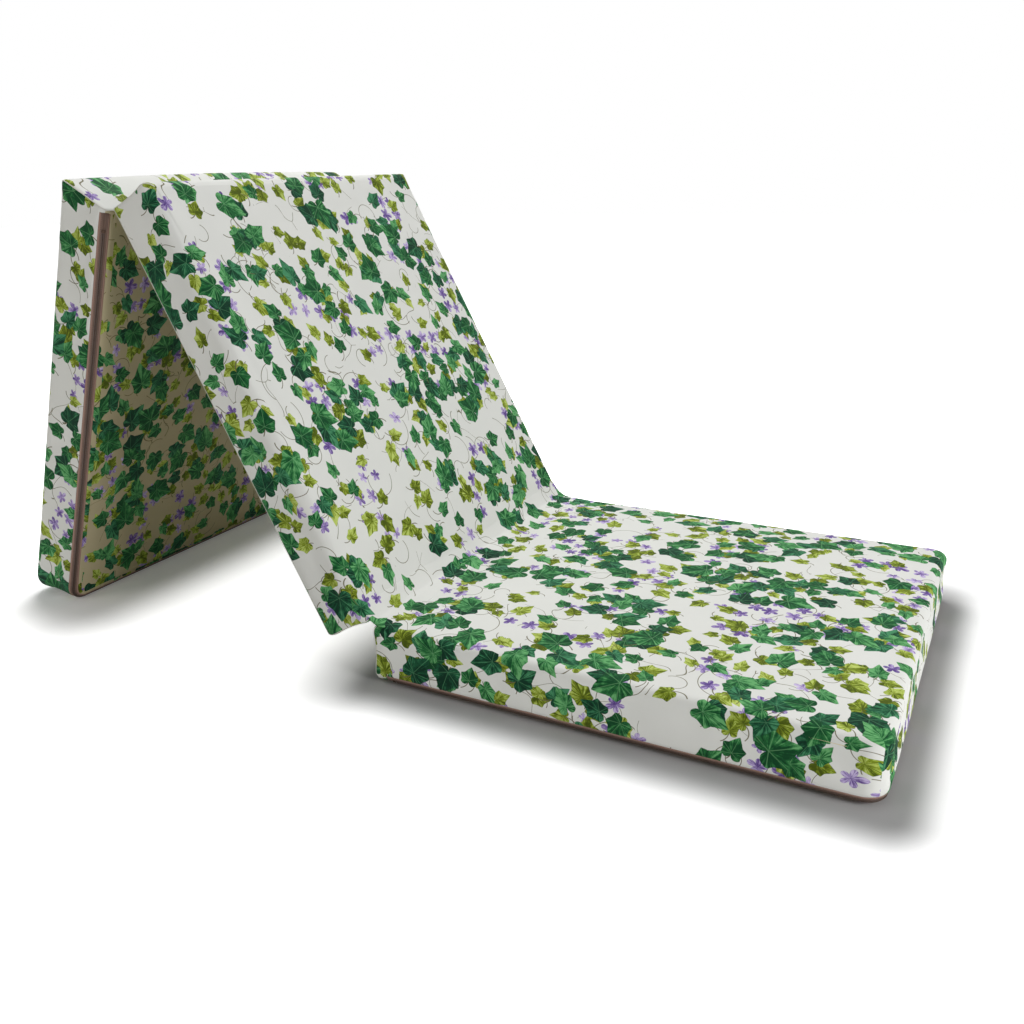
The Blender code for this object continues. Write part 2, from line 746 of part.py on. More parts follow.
for name, section in SECTIONS.items():
    stations = outline(section)
    path = zip_stations(section, stations)
    add_piece(name, f"{name}_foam_core", foam_body(stations), foam)
    add_piece(name, f"{name}_cover", cover_body(stations), cover_cloth)
    add_piece(name, f"{name}_base_panel", base_panel_body(stations), panel_cloth)
    for label, side in (("upper", -1), ("lower", 1)):
        tape = strip_body(shortened(path, ZIP_STEP), tape_angles(side), 0.0, ZIP_TAPE_THICKNESS)
        add_piece(name, f"{name}_zip_tape_{label}", tape, tape_cloth)
        coil = coil_body(shortened(path, ZIP_STEP + 2 * STOP_LENGTH), side)
        add_piece(name, f"{name}_zip_coil_{label}", coil, coil_plastic, crease=50.0)
    far_u = SECTION_LENGTH - section.inset
    closed_u = section.inset if section.away > 0 else far_u
    stop_shift = ZIP_STEP + STOP_LENGTH
    ends = [("closed", closed_u + section.away * stop_shift, 1)]
    if section.zip_near:
        ends.append(("open", section.inset + stop_shift, -1))
    else:
        ends.append(("open", section.inset + stop_shift, 1))
    for label, place, side in ends:
        stop_name = f"{name}_zip_stop_{label}"
        stop = make_object(stop_name, *stop_body(), stop_metal, parents[name][0], False)
        set_frame(stop, name, section.away, place, side)
    slider_shift = stop_shift + STOP_LENGTH + SLIDER_LENGTH / 2
    slider_u = closed_u + section.away * slider_shift
    slider = build_slider(f"{name}_zip_slider", slider_metal, parents[name][0])
    set_frame(slider, name, section.away, slider_u)
    pull = make_object(f"{name}_zip_pull", *pull_body(), slider_metal, slider, True, 30.0)
    pull.location = (0.0, 0.0, slider_levels()[4])
    pull.rotation_euler = (0.0, -pull_turn(name, slider), 0.0)

top_flap = (TOP_FOLD_RISE, TOP_SEAM_RADIUS, False)
base_flap = (BASE_FOLD_RISE, BASE_SEAM_RADIUS, True)
add_piece("foot", "foot_fold_flap", flap_body(*top_flap, False), flap_cloth)
add_piece("middle", "middle_lower_fold_flap", flap_body(*top_flap, False), flap_cloth)
add_piece("middle", "middle_upper_fold_flap", flap_body(*base_flap, True), flap_cloth)
add_piece("head", "head_fold_flap", flap_body(*base_flap, False), flap_cloth)
seam_half = SECTION_WIDTH / 2 - FLAP_SIDE_MARGIN
top_seam = rod_body(TOP_SEAM_RADIUS, seam_half, Vector(), SEAM_STEPS)
base_seam = rod_body(BASE_SEAM_RADIUS, seam_half, Vector(), SEAM_STEPS)
foot_seam = make_object("middle_foot_fold_seam", *top_seam, seam_thread, mattress)
foot_seam.location = (first_fold[0], 0.0, first_fold[1])
head_seam = make_object("head_middle_fold_seam", *base_seam, seam_thread, middle_fold)
head_seam.location = head_fold.location

# The origin goes to the middle of the whole mattress's footprint.
bpy.context.view_layer.update()
corners = []
for piece in bpy.data.objects:
    if piece.type == "MESH":
        corners += [piece.matrix_world @ vertex.co for vertex in piece.data.vertices]
mattress.location.x = -(min(c.x for c in corners) + max(c.x for c in corners)) / 2
mattress.location.y = -(min(c.y for c in corners) + max(c.y for c in corners)) / 2
bpy.context.view_layer.update()
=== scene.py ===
"""Folding mattress: printed cotton covers, zips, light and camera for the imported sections."""

import cmath
import json
import math
from collections import namedtuple
from functools import partialmethod
from itertools import groupby

import bmesh
import bpy
import numpy as np
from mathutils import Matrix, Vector, noise


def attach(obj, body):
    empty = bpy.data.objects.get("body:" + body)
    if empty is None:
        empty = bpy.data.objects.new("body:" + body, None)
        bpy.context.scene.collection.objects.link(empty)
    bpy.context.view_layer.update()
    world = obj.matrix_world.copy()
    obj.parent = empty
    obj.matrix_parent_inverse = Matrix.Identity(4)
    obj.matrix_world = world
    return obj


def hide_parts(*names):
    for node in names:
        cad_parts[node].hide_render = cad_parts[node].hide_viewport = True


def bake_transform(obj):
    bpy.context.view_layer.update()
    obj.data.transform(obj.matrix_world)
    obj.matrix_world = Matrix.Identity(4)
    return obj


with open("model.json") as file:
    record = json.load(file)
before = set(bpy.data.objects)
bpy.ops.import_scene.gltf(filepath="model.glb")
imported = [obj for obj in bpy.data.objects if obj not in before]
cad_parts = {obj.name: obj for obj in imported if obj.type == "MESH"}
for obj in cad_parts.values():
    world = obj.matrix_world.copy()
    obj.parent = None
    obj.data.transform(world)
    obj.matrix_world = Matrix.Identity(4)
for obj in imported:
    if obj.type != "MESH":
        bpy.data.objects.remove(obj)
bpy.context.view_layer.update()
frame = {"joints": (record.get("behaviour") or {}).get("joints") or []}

# Foam sections, as in the CAD model, with the radii of their edges and corners
LENGTH = 0.633
WIDTH = 0.620
HEIGHT = 0.080
TOP_EDGE = 0.012
BASE_EDGE = 0.016
FOLD_EDGE = 0.005
FREE_CORNER = 0.028
FOLD_GAP = 0.003
TOP_FOLD_RISE = 0.0039
BASE_FOLD_RISE = 0.00195
OUTER_ZIP_INSET = 0.026
MIDDLE_ZIP_INSET = 0.075
ZIP_ANGLES = (66.9, 53.5, 40.0, 26.5, 13.1)
ZIP_ANGLE = math.radians(40.0)

# Cloth
FOLD_CORNER = 0.007
SHARPEST_CORNER = 0.0012
CLOTH_STEP = 0.0125
CORNER_STEPS = 6
SIDE_STEPS = 6
TOP_ARC_STEPS = 4
TOP_CROWN = 0.0028
CROWN_RAMP = 0.110
SIDE_DRAW_IN = 0.0022
COVER_THICKNESS = 0.0009
TAPE_THICKNESS = 0.0006
TAPE_LEAD = 0.018
SEAM_RADIUS = 0.0008
LOW_SEAM_RADIUS = 0.00064
FOAM_INSET = 0.0022
BASE_PRINT_SHIFT = (2.37, 1.81)

# How the standing section gives: its cover is fuller, its end on the floor spreads, and
# its other end opens at the fold
FOOT_SPREAD = 0.018
TOP_SPREAD = 0.018
TOP_BOW = 0.004
SPREAD_REACH = 0.11
COVER_LOFT = 0.012
LOFT_START = 0.036
FLOOR_CLEARANCE = 0.0004

Section = namedtuple("Section", "body root_on_base end_folds zip_near zip_end inset lead turn")
SECTIONS = {
    "foot": Section("foot_section", False, False, True, True, OUTER_ZIP_INSET, TAPE_LEAD, 1),
    "middle": Section("middle_section", False, True, False, False, MIDDLE_ZIP_INSET, 0.0, -1),
    "head": Section("head_section", True, False, True, True, OUTER_ZIP_INSET, OUTER_ZIP_INSET, -1),
}
JOINTS = {joint["name"]: joint for joint in frame["joints"]}


def smooth(share):
    share = np.clip(share, 0.0, 1.0)
    return share * share * (3.0 - 2.0 * share)


# Places of the sections at rest

def section_frame(name):
    """Origin and axes of a section: u along it from its root fold, v across, z from its base."""
    section = SECTIONS[name]
    slide = -1 if name == "middle" else 1
    along = Vector(JOINTS[f"{name}_zip_slide"]["axis"]).normalized() * slide
    across = Vector((0.0, 1.0, 0.0))
    up = Vector((-along.z, 0.0, along.x)) * section.turn
    if name == "head":
        fold = Vector(JOINTS["head_middle_fold"]["pos_m"])
        origin = fold + along * (FOLD_GAP / 2) + up * BASE_FOLD_RISE
    else:
        fold = Vector(JOINTS["middle_foot_fold"]["pos_m"])
        origin = fold + along * (FOLD_GAP / 2) - up * (HEIGHT + TOP_FOLD_RISE)
    return origin, along, across, up


def to_world(name, points):
    points = np.asarray(points, float)
    origin, along, across, up = (np.array(v) for v in section_frame(name))
    return origin + points[:, :1] * along + points[:, 1:2] * across + points[:, 2:] * up


def flat_x(name, u):
    """Where a section's u lies on one line when the whole mattress is flat."""
    shifts = {"middle": -FOLD_GAP, "head": -2 * FOLD_GAP - LENGTH}
    return u if name == "foot" else shifts[name] - u


# The skin of a section: rings round it, joined by a grid on its top and on its base

def ring_profile():
    """Each ring as the kind of place it is on and its angle or share there, base first."""
    rings = [("base", math.radians(a)) for a in (90.0, 78.4, *ZIP_ANGLES, 0.0)]
    rings += [("side", step / SIDE_STEPS) for step in range(1, SIDE_STEPS)]
    rings += [("top", math.pi / 2 * step / TOP_ARC_STEPS) for step in range(TOP_ARC_STEPS + 1)]
    return rings


RINGS = ring_profile()
BAND_RINGS = (2, 6)
SEAM_RING = 4
CORNERS = ("near_end", "far_end", "far_root", "near_root")
ZONES = ("cover", "base", "tape_upper", "tape_lower")
Skin = namedtuple("Skin", "points faces zones uvs stations count")


def ring_place(ring, base_radius, top_radius):
    """How far in from the side and how high a ring runs, for one pair of edge radii."""
    kind, value = ring
    if kind == "base":
        return base_radius * (1 - math.cos(value)), base_radius * (1 - math.sin(value))
    high = HEIGHT - top_radius
    if kind == "side":
        return SIDE_DRAW_IN * 4 * value * (1 - value), base_radius + value * (high - base_radius)
    return top_radius * (1 - math.cos(value)), high + top_radius * math.sin(value)


def edge_radii(section):
    """Base and top edge radius of the sides, of the root end and of the other end."""
    sides = (BASE_EDGE, TOP_EDGE)
    root = (BASE_EDGE, FOLD_EDGE)
    if section.root_on_base:
        root = (FOLD_EDGE, TOP_EDGE)
    end = (FOLD_EDGE, TOP_EDGE) if section.end_folds else sides
    return sides, root, end


def station_list():
    """Stations round the outline: the side or corner that each is on, and its share of it."""
    along = np.linspace(0.0, 1.0, round(LENGTH / CLOTH_STEP) + 1)
    across = np.linspace(0.0, 1.0, round(WIDTH / CLOTH_STEP) + 1)
    corner = [step / CORNER_STEPS for step in range(1, CORNER_STEPS)]
    runs = (along, corner, across, corner, along, corner, across, corner)
    places = ("near", "near_end", "end", "far_end", "far", "far_root", "root", "near_root")
    stations = [(place, share) for place, run in zip(places, runs) for share in run]
    return stations, len(along), len(across)


def ring_points(section, ring, stations):
    sides, root, end = (ring_place(ring, *radii) for radii in edge_radii(section))
    end_corner = FOLD_CORNER if section.end_folds else FREE_CORNER
    root_round = max(FOLD_CORNER - max(sides[0], root[0]), SHARPEST_CORNER)
    end_round = max(end_corner - max(sides[0], end[0]), SHARPEST_CORNER)
    low_u, high_u = root[0] + root_round, LENGTH - end[0] - end_round
    half = WIDTH / 2 - sides[0]
    points = []
    for place, share in stations:
        far = place.startswith("far")
        if place in ("near", "far"):
            u = low_u + (1 - share if far else share) * (high_u - low_u)
            points.append((u, half if far else -half, sides[1]))
        elif place == "end":
            lane = half - end_round
            points.append((LENGTH - end[0], lane * (2 * share - 1), end[1]))
        elif place == "root":
            lane = half - root_round
            points.append((root[0], lane * (1 - 2 * share), root[1]))
        else:
            at_end, from_side = place.endswith("end"), place in ("near_end", "far_root")
            radius, other = (end_round, end) if at_end else (root_round, root)
            way = share if from_side else 1 - share
            height = sides[1] + smooth(way) * (other[1] - sides[1])
            swing, lean = math.sin(math.pi / 2 * way), math.cos(math.pi / 2 * way)
            u = high_u + radius * swing if at_end else low_u - radius * swing
            v = half - radius + radius * lean
            points.append((u, v if far else -v, height))
    return np.array(points, float)


def grid_cells(rows, columns):
    """The four places round each cell of a grid."""
    return [
        ((i, j), (i + 1, j), (i + 1, j + 1), (i, j + 1))
        for i in range(rows - 1) for j in range(columns - 1)
    ]


def patch_sides(count, along, across):
    """The four sides of a grid on a closed ring, from the middle of one corner to the next."""
    half = CORNER_STEPS // 2
    start = count - half
    near = [(start + i) % count for i in range(along + CORNER_STEPS)]
    end = [(near[-1] + i) % count for i in range(across + CORNER_STEPS)]
    far = [(end[-1] + i) % count for i in range(along + CORNER_STEPS)][::-1]
    root = [(far[0] + i) % count for i in range(across + CORNER_STEPS)][::-1]
    return near, end, far, root


def fill_patch(ring, near, end, far, root):
    """Points inside the ring by blending between its four sides."""
    s = ring[near, 0]
    t = ring[root, 1]
    s = ((s - s[0]) / (s[-1] - s[0]))[:, None, None]
    t = ((t - t[0]) / (t[-1] - t[0]))[None, :, None]
    corners = (1 - s) * (1 - t) * ring[near[0]] + s * (1 - t) * ring[near[-1]]
    corners = corners + (1 - s) * t * ring[far[0]] + s * t * ring[far[-1]]
    across = (1 - t) * ring[near][:, None] + t * ring[far][:, None]
    return across + (1 - s) * ring[root][None] + s * ring[end][None] - corners


def crown(u, v):
    from_end = np.minimum(u, LENGTH - u) / CROWN_RAMP
    from_side = (WIDTH / 2 - np.abs(v)) / CROWN_RAMP
    return TOP_CROWN * smooth(from_end) * smooth(from_side)


def is_zipped(section, station):
    place, share = station
    first = (section.inset - section.lead) / LENGTH
    last = 1.0 if section.zip_end else 1 - first
    if place == "far":
        return first <= 1 - share <= last
    if place == "near":
        return section.zip_near and share >= first
    return section.zip_end and place in ("near_end", "end", "far_end")


def side_zone(section, row, first, second):
    if is_zipped(section, first) and is_zipped(section, second):
        if row < BAND_RINGS[0]:
            return "base"
        if row < BAND_RINGS[1]:
            return "tape_lower" if row < SEAM_RING else "tape_upper"
        return "cover"
    return "base" if row < SEAM_RING else "cover"


def on_end_cloth(first, second):
    """Whether the strip of skin between two stations is part of an end's cloth."""
    place, share = first if first[0] in CORNERS else second
    if place not in CORNERS:
        return place in ("end", "root")
    if first[0] in CORNERS and second[0] in CORNERS:
        share = (first[1] + second[1]) / 2
    elif first[0] in CORNERS:
        share = 1.0
    else:
        share = 0.0
    return (share > 0.5) == (place in ("near_end", "far_root"))


def print_places(name, rings):
    """The print's place at each ring and station, read along the long sides and the ends."""
    rim = rings[-1]
    drops = [np.zeros(len(rim))]
    for lower, upper in zip(reversed(rings[:-1]), reversed(rings[1:])):
        drops.append(drops[-1] + np.linalg.norm(upper - lower, axis=1))
    x = flat_x(name, rim[:, 0])
    outward = np.sign(rim[:, 1])
    end_way = np.where(rim[:, 0] > LENGTH / 2, 1.0, -1.0) * SECTIONS[name].turn
    places = []
    for drop in reversed(drops):
        side = np.stack((x, rim[:, 1] + outward * drop), axis=1)
        end = np.stack((x + end_way * drop, rim[:, 1]), axis=1)
        places.append((side, end))
    return places


def build_skin(name):
    """The closed skin of a section in its own axes, its faces sorted into zones."""
    section = SECTIONS[name]
    stations, along, across = station_list()
    count = len(stations)
    rings = [ring_points(section, ring, stations) for ring in RINGS]
    places = print_places(name, rings)
    steps = np.linalg.norm(np.diff(rings[SEAM_RING], axis=0), axis=1)
    lengths = np.concatenate(([0.0], np.cumsum(steps)))
    points = [point for ring in rings for point in ring]
    faces, zones, uvs = [], [], []
    for row in range(len(rings) - 1):
        for column in range(count):
            after = (column + 1) % count
            first, second = stations[column], stations[after]
            corners = ((row, column), (row, after), (row + 1, after), (row + 1, column))
            faces.append(tuple(r * count + c for r, c in corners))
            zones.append(side_zone(section, row, first, second))
            if zones[-1].startswith("tape"):
                half = BAND_RINGS[1] - SEAM_RING
                uvs.append([(lengths[c], abs(r - SEAM_RING) / half) for r, c in corners])
            else:
                kind = 1 if on_end_cloth(first, second) else 0
                uvs.append([places[r][kind][c] for r, c in corners])
    sides = patch_sides(count, along - 1, across - 1)
    for level, zone in ((0, "base"), (len(rings) - 1, "cover")):
        inner = fill_patch(rings[level], *sides)
        ids = np.full(inner.shape[:2], -1)
        ids[:, 0], ids[-1, :], ids[:, -1], ids[0, :] = sides
        ids[ids >= 0] += level * count
        for i, j in zip(*np.nonzero(ids < 0)):
            point = inner[i, j]
            if zone == "cover":
                point[2] += crown(point[0], point[1])
            ids[i, j] = len(points)
            points.append(point)
        shift = BASE_PRINT_SHIFT if zone == "base" else (0.0, 0.0)
        for cell in grid_cells(*ids.shape):
            corners = [ids[place] for place in (cell[::-1] if zone == "base" else cell)]
            faces.append(tuple(corners))
            zones.append(zone)
            flat = [(flat_x(name, points[c][0]), points[c][1]) for c in corners]
            uvs.append([(x + shift[0], y + shift[1]) for x, y in flat])
    if section.turn < 0:
        faces = [face[::-1] for face in faces]
        uvs = [corner_places[::-1] for corner_places in uvs]
    return Skin(np.array(points), faces, zones, uvs, stations, count)


# How the cloth lies: simulated, then eased where it is sewn, folded or rests on the floor

SIMULATED_FRAMES = 20
CLOTH = {
    "quality": 4, "mass": 0.2, "tension_stiffness": 10, "compression_stiffness": 10,
    "bending_stiffness": 0.3, "vertex_group_mass": "pins", "vertex_group_shrink": "gather",
    "shrink_min": -0.004, "shrink_max": -0.035, "use_pressure": True,
    "uniform_pressure_force": 4.0,
}
RELIEF_CAP = 0.0021
TOP_RELIEF_CAP = 0.0008
EASE_REACH = 0.030
GATHER_REACH = 0.060
LOW_PASS_ROUNDS = 45

# Scale, height and seed of the cloth's waves
START_WAVES = (30.0, 0.0002, 3)
GATHERS = (42.0, 0.00115, 0)
FINE_GATHERS = (85.0, 0.00050, 9)
BROAD_WAVES = (9.0, 0.0013, 20)
EDGE_WAVES = (16.0, 0.0003, 40)
GATHER_FADE = 0.022
GATHER_STRETCH = (1.0, 1.0, 0.15)
BROAD_STRETCH = (1.0, 1.0, 1.8)
EDGE_WAVES_START, EDGE_WAVES_RAMP = 0.05, 0.03
SIDE_SLOPE = 1.3
NOISE_GAIN = 1.6
SEED_STEP = (7.31, 3.17, 5.53)


def simulate(name, points, faces, held, gathered):
    """The points after the cloth has been blown up a little inside its sewn edges."""
    made = mesh_object(f"{name}_cloth_study", points, faces)
    for label, weights in (("pins", held), ("gather", gathered)):
        group = made.vertex_groups.new(name=label)
        for index, weight in enumerate(weights):
            group.add([index], float(weight), "REPLACE")
    modifier = made.modifiers.new("cloth", "CLOTH")
    for key, value in CLOTH.items():
        setattr(modifier.settings, key, value)
    modifier.settings.effector_weights.gravity = 0.0
    modifier.collision_settings.use_collision = False
    modifier.point_cache.frame_start = 1
    modifier.point_cache.frame_end = SIMULATED_FRAMES
    scene = bpy.context.scene
    for step in range(1, SIMULATED_FRAMES + 1):
        scene.frame_set(step)
    mesh = made.evaluated_get(bpy.context.evaluated_depsgraph_get()).to_mesh()
    moved = np.zeros(len(points) * 3)
    mesh.vertices.foreach_get("co", moved)
    bpy.data.objects.remove(made, do_unlink=True)
    scene.frame_set(1)
    return moved.reshape(-1, 3)


def low_pass(values, faces, rounds):
    """The broad part of a field on the skin: each point drifts to its neighbours' mean."""
    quads = np.array(faces)
    firsts = quads.ravel()
    seconds = np.roll(quads, -1, axis=1).ravel()
    degree = 2 * np.bincount(firsts, minlength=len(values))
    for _ in range(rounds):
        total = np.zeros_like(values)
        for axis in range(values.shape[1]):
            total[:, axis] += np.bincount(firsts, values[seconds, axis], len(values))
            total[:, axis] += np.bincount(seconds, values[firsts, axis], len(values))
        values = 0.5 * values + 0.5 * total / degree[:, None]
    return values


def sewn_distance(points):
    """How far each point is from the zip or seam under it, over the cloth."""
    u, v, z = points.T
    side = np.minimum(WIDTH / 2 - np.abs(v), np.minimum(u, LENGTH - u))
    return np.maximum(z - BASE_EDGE, 0.0) + np.maximum(side - BASE_EDGE, 0.0)


def fold_distance(section, points):
    """How far each point is along its section from an end that folds."""
    from_root = points[:, 0]
    from_end = LENGTH - points[:, 0] if section.end_folds else np.full(len(points), 1.0)
    return np.minimum(from_root, from_end)


def skin_normals(points, faces, turn):
    quads = np.array(faces)
    a, b, c, d = (points[quads[:, corner]] for corner in range(4))
    cross = np.cross(c - a, d - b)
    normals = np.zeros_like(points)
    for corner in range(4):
        np.add.at(normals, quads[:, corner], cross * turn)
    return normals / np.linalg.norm(normals, axis=1)[:, None]


def wander(points, waves, seed=0):
    """Smooth noise at each point, to about the waves' height up and down."""
    scale, height, own_seed = waves
    seed += own_seed
    shift = Vector([seed * step for step in SEED_STEP])
    values = [noise.noise(Vector(point) * scale + shift) for point in points]
    return np.array(values) * NOISE_GAIN * height


def pucker(name, points, normals):
    """Soft waves of the cloth, and small gathers that run away from the zip and seams."""
    seed = 1 + list(SECTIONS).index(name)
    near_sewn = np.exp(-sewn_distance(points) / GATHER_FADE)
    along = points * GATHER_STRETCH
    gathers = wander(along, GATHERS, seed) + wander(along, FINE_GATHERS, seed)
    side_share = np.clip(1 - np.abs(normals[:, 2]) * SIDE_SLOPE, 0.0, 1.0)
    waves = wander(points * BROAD_STRETCH, BROAD_WAVES, seed)
    edge_share = smooth((points[:, 2] - EDGE_WAVES_START) / EDGE_WAVES_RAMP)
    edge = wander(points, EDGE_WAVES, seed) * edge_share
    return side_share * (gathers * near_sewn + waves) + edge


def lie(name, skin):
    """The skin's points with the cloth's own relief."""
    section = SECTIONS[name]
    points, count = skin.points, skin.count
    normals = skin_normals(points, skin.faces, section.turn)
    sewn = sewn_distance(points)
    held = np.zeros(len(points))
    for row in range(BAND_RINGS[0], BAND_RINGS[1] + 1):
        held[row * count:(row + 1) * count] = 1.0
    if name == "foot":
        held[points[:, 2] < 0.5 * BASE_EDGE] = 1.0
    relief = np.zeros_like(points)
    gathered = np.clip(1 - sewn / GATHER_REACH, 0.0, 1.0)
    start = points + normals * wander(points, START_WAVES)[:, None]
    moved = simulate(name, start, skin.faces, held, gathered) - points
    relief = moved - low_pass(moved, skin.faces, LOW_PASS_ROUNDS)
    relief = relief + normals * pucker(name, points, normals)[:, None]
    on_top = smooth((points[:, 2] - HEIGHT + TOP_EDGE / 2) / (TOP_EDGE / 2))
    cap = RELIEF_CAP + (TOP_RELIEF_CAP - RELIEF_CAP) * on_top
    size = np.linalg.norm(relief, axis=1)
    relief *= (cap / np.maximum(np.hypot(size, cap), 1e-9))[:, None]
    ease = smooth(fold_distance(section, points) / EASE_REACH) * (1 - held)
    ease *= smooth(sewn / (BASE_EDGE / 2) + (points[:, 2] <= BASE_EDGE))
    return points + relief * ease[:, None]


def spread(points):
    """Fills out the standing section's cover, and opens its ends as weight and fold do."""
    u, v, z = points.T
    height = smooth((z - BASE_EDGE) / (HEIGHT - BASE_EDGE))
    near_floor = smooth((u - LENGTH + SPREAD_REACH) / SPREAD_REACH)
    near_fold = smooth((SPREAD_REACH - u) / SPREAD_REACH)
    bow = TOP_SPREAD + TOP_BOW * (1 - (2 * v / WIDTH) ** 2)
    rise = np.clip(z / HEIGHT, 0.0, 1.0)
    moved = points.copy()
    moved[:, 0] += FOOT_SPREAD * height * near_floor - bow * rise * near_fold
    moved[:, 2] += COVER_LOFT * smooth((z - LOFT_START) / (HEIGHT - LOFT_START))
    return moved


# Meshes

def link_object(name, data):
    made = bpy.data.objects.new(name, data)
    bpy.context.scene.collection.objects.link(made)
    return made


def mesh_object(name, points, faces, materials=(), uvs=None, zones=None):
    mesh = bpy.data.meshes.new(name)
    points = [tuple(map(float, point)) for point in points]
    mesh.from_pydata(points, [], [tuple(map(int, face)) for face in faces])
    if uvs is not None:
        layer = mesh.uv_layers.new(name="print")
        flat = np.array([place for corners in uvs for place in corners], np.float32)
        layer.data.foreach_set("uv", flat.ravel())
    for material in materials:
        mesh.materials.append(material)
    if zones is not None:
        mesh.polygons.foreach_set("material_index", np.array(zones, np.int32))
    mesh.shade_smooth()
    return link_object(name, mesh)


def modify(made, kind, **settings):
    """Adds one modifier and applies it."""
    modifier = made.modifiers.new(kind, kind)
    for key, value in settings.items():
        setattr(modifier, key, value)
    graph = bpy.context.evaluated_depsgraph_get()
    mesh = bpy.data.meshes.new_from_object(made.evaluated_get(graph))
    made.modifiers.clear()
    old = made.data
    made.data = mesh
    mesh.name = made.name
    bpy.data.meshes.remove(old)
    return made


def subdivide(made):
    return modify(made, "SUBSURF", levels=1, render_levels=1, uv_smooth="PRESERVE_BOUNDARIES")


def split_zone(whole, index, name, material):
    """One zone of a skin as an object of its own, with its print places kept."""
    work = bmesh.new()
    work.from_mesh(whole.data)
    others = [face for face in work.faces if face.material_index != index]
    bmesh.ops.delete(work, geom=others, context="FACES")
    for face in work.faces:
        face.material_index = 0
    mesh = bpy.data.meshes.new(name)
    work.to_mesh(mesh)
    work.free()
    mesh.materials.append(material)
    return link_object(name, mesh)


def row_faces(rows, count):
    """Faces between rows of points round a closed bar, and on its two ends."""
    faces = []
    for row in range(rows - 1):
        for i in range(count):
            low, high, after = row * count, (row + 1) * count, (i + 1) % count
            faces.append((low + i, low + after, high + after, high + i))
    faces.append(tuple(range(count))[::-1])
    faces.append(tuple((rows - 1) * count + i for i in range(count)))
    return faces


def tube_points(path, radius, sides=8):
    """Points and faces of a closed round cord along a path."""
    path = np.asarray(path, float)
    tangents = np.gradient(path, axis=0)
    tangents /= np.linalg.norm(tangents, axis=1)[:, None]
    points = []
    normal = np.cross(tangents[0], (0.3, 0.5, 0.8))
    for place, tangent in zip(path, tangents):
        normal = normal - tangent * (normal @ tangent)
        normal /= np.linalg.norm(normal)
        other = np.cross(tangent, normal)
        for side in range(sides):
            angle = 2 * math.pi * side / sides
            points.append(place + radius * (math.cos(angle) * normal + math.sin(angle) * other))
    return points, row_faces(len(path), sides)


def join_bodies(bodies):
    points, faces = [], []
    for more_points, more_faces in bodies:
        start = len(points)
        points += list(more_points)
        faces += [tuple(start + i for i in face) for face in more_faces]
    return points, faces


# Materials

class Nodes:
    """Builds the nodes of a material or world in the order in which they are written."""

    def __init__(self, owner, shader="Principled BSDF"):
        owner.use_nodes = True
        self.owner, self.tree = owner, owner.node_tree
        self.shader = self.tree.nodes[shader]

    def put(self, node, inputs):
        for key, value in dict(inputs).items():
            socket = node.inputs[key]
            if isinstance(value, bpy.types.NodeSocket):
                self.tree.links.new(value, socket)
            elif socket.type == "RGBA":
                socket.default_value = (*value, 1.0)
            else:
                socket.default_value = value

    def add(self, kind, inputs=(), **settings):
        node = self.tree.nodes.new("ShaderNode" + kind)
        for key, value in settings.items():
            setattr(node, key, value)
        self.put(node, inputs)
        return node

    def math(self, operation, *values, clamp=False):
        node = self.add("Math", enumerate(values), operation=operation, use_clamp=clamp)
        return node.outputs[0]

    def chain(self, operation, *values, clamp=False):
        total = values[0]
        for value in values[1:-1]:
            total = self.math(operation, total, value)
        return self.math(operation, total, values[-1], clamp=clamp)

    plus = partialmethod(chain, "ADD")
    times = partialmethod(chain, "MULTIPLY")
    minus = partialmethod(math, "SUBTRACT")
    over = partialmethod(math, "DIVIDE")
    scaled = partialmethod(math, "MULTIPLY_ADD")
    above = partialmethod(math, "GREATER_THAN")
    turn = partialmethod(math, "ARCTAN2")
    size = partialmethod(math, "ABSOLUTE")

    def line(self, gap, width, fullness=1.0):
        """1 on a line, and 0 where the gap from it passes its width."""
        return self.minus(fullness, self.over(gap, width), clamp=True)

    def off(self, value, middle):
        return self.size(self.minus(value, middle))

    def distance(self, x, y):
        return self.math("SQRT", self.plus(self.times(x, x), self.times(y, y)))

    def vector(self, operation, *values):
        node = self.add("VectorMath", enumerate(values), operation=operation)
        return node.outputs["Value" if operation == "LENGTH" else "Vector"]

    def noise(self, place, scale, detail=2.0, roughness=0.5, flat=False, output="Fac"):
        inputs = {"Vector": place, "Scale": scale, "Detail": detail, "Roughness": roughness}
        node = self.add("TexNoise", inputs, noise_dimensions="2D" if flat else "3D")
        return node.outputs[output]

    def mix(self, share, first, second):
        node = self.add("Mix", data_type="RGBA")
        shown = [key for key, socket in enumerate(node.inputs) if socket.enabled]
        self.put(node, zip(shown, (share, first, second)))
        return next(socket for socket in node.outputs if socket.enabled)

    def ramp(self, share, stops):
        node = self.add("ValToRGB", {"Fac": share})
        elements = node.color_ramp.elements
        elements.remove(elements[-1])
        for index, (place, value) in enumerate(stops):
            element = elements.new(place) if index else elements[0]
            element.position = place
            element.color = (value, value, value, 1.0)
        return node.outputs["Color"]

    def finish(self, colour, roughness, metallic=0.0, height=None, strength=0.2, distance=0.001):
        self.put(self.shader, {"Base Color": colour, "Roughness": roughness, "Metallic": metallic})
        if height is not None:
            bump = self.add("Bump", {"Height": height, "Strength": strength, "Distance": distance})
            self.put(self.shader, {"Normal": bump.outputs["Normal"]})
        return self.owner


def new_nodes(name, place):
    """Nodes of a new material, and the place on the piece that its patterns follow."""
    nodes = Nodes(bpy.data.materials.new(name))
    if place == "print":
        return nodes, nodes.add("UVMap", uv_map="print").outputs["UV"]
    return nodes, nodes.add("TexCoord").outputs["Object"]


# The print: layers of scattered leaves and blossoms on an unbleached ground

Motif = namedtuple("Motif", "cell size spread foot shift turn outline veins colours place stalk")
Curl = namedtuple("Curl", "cell spread shift turn radius")

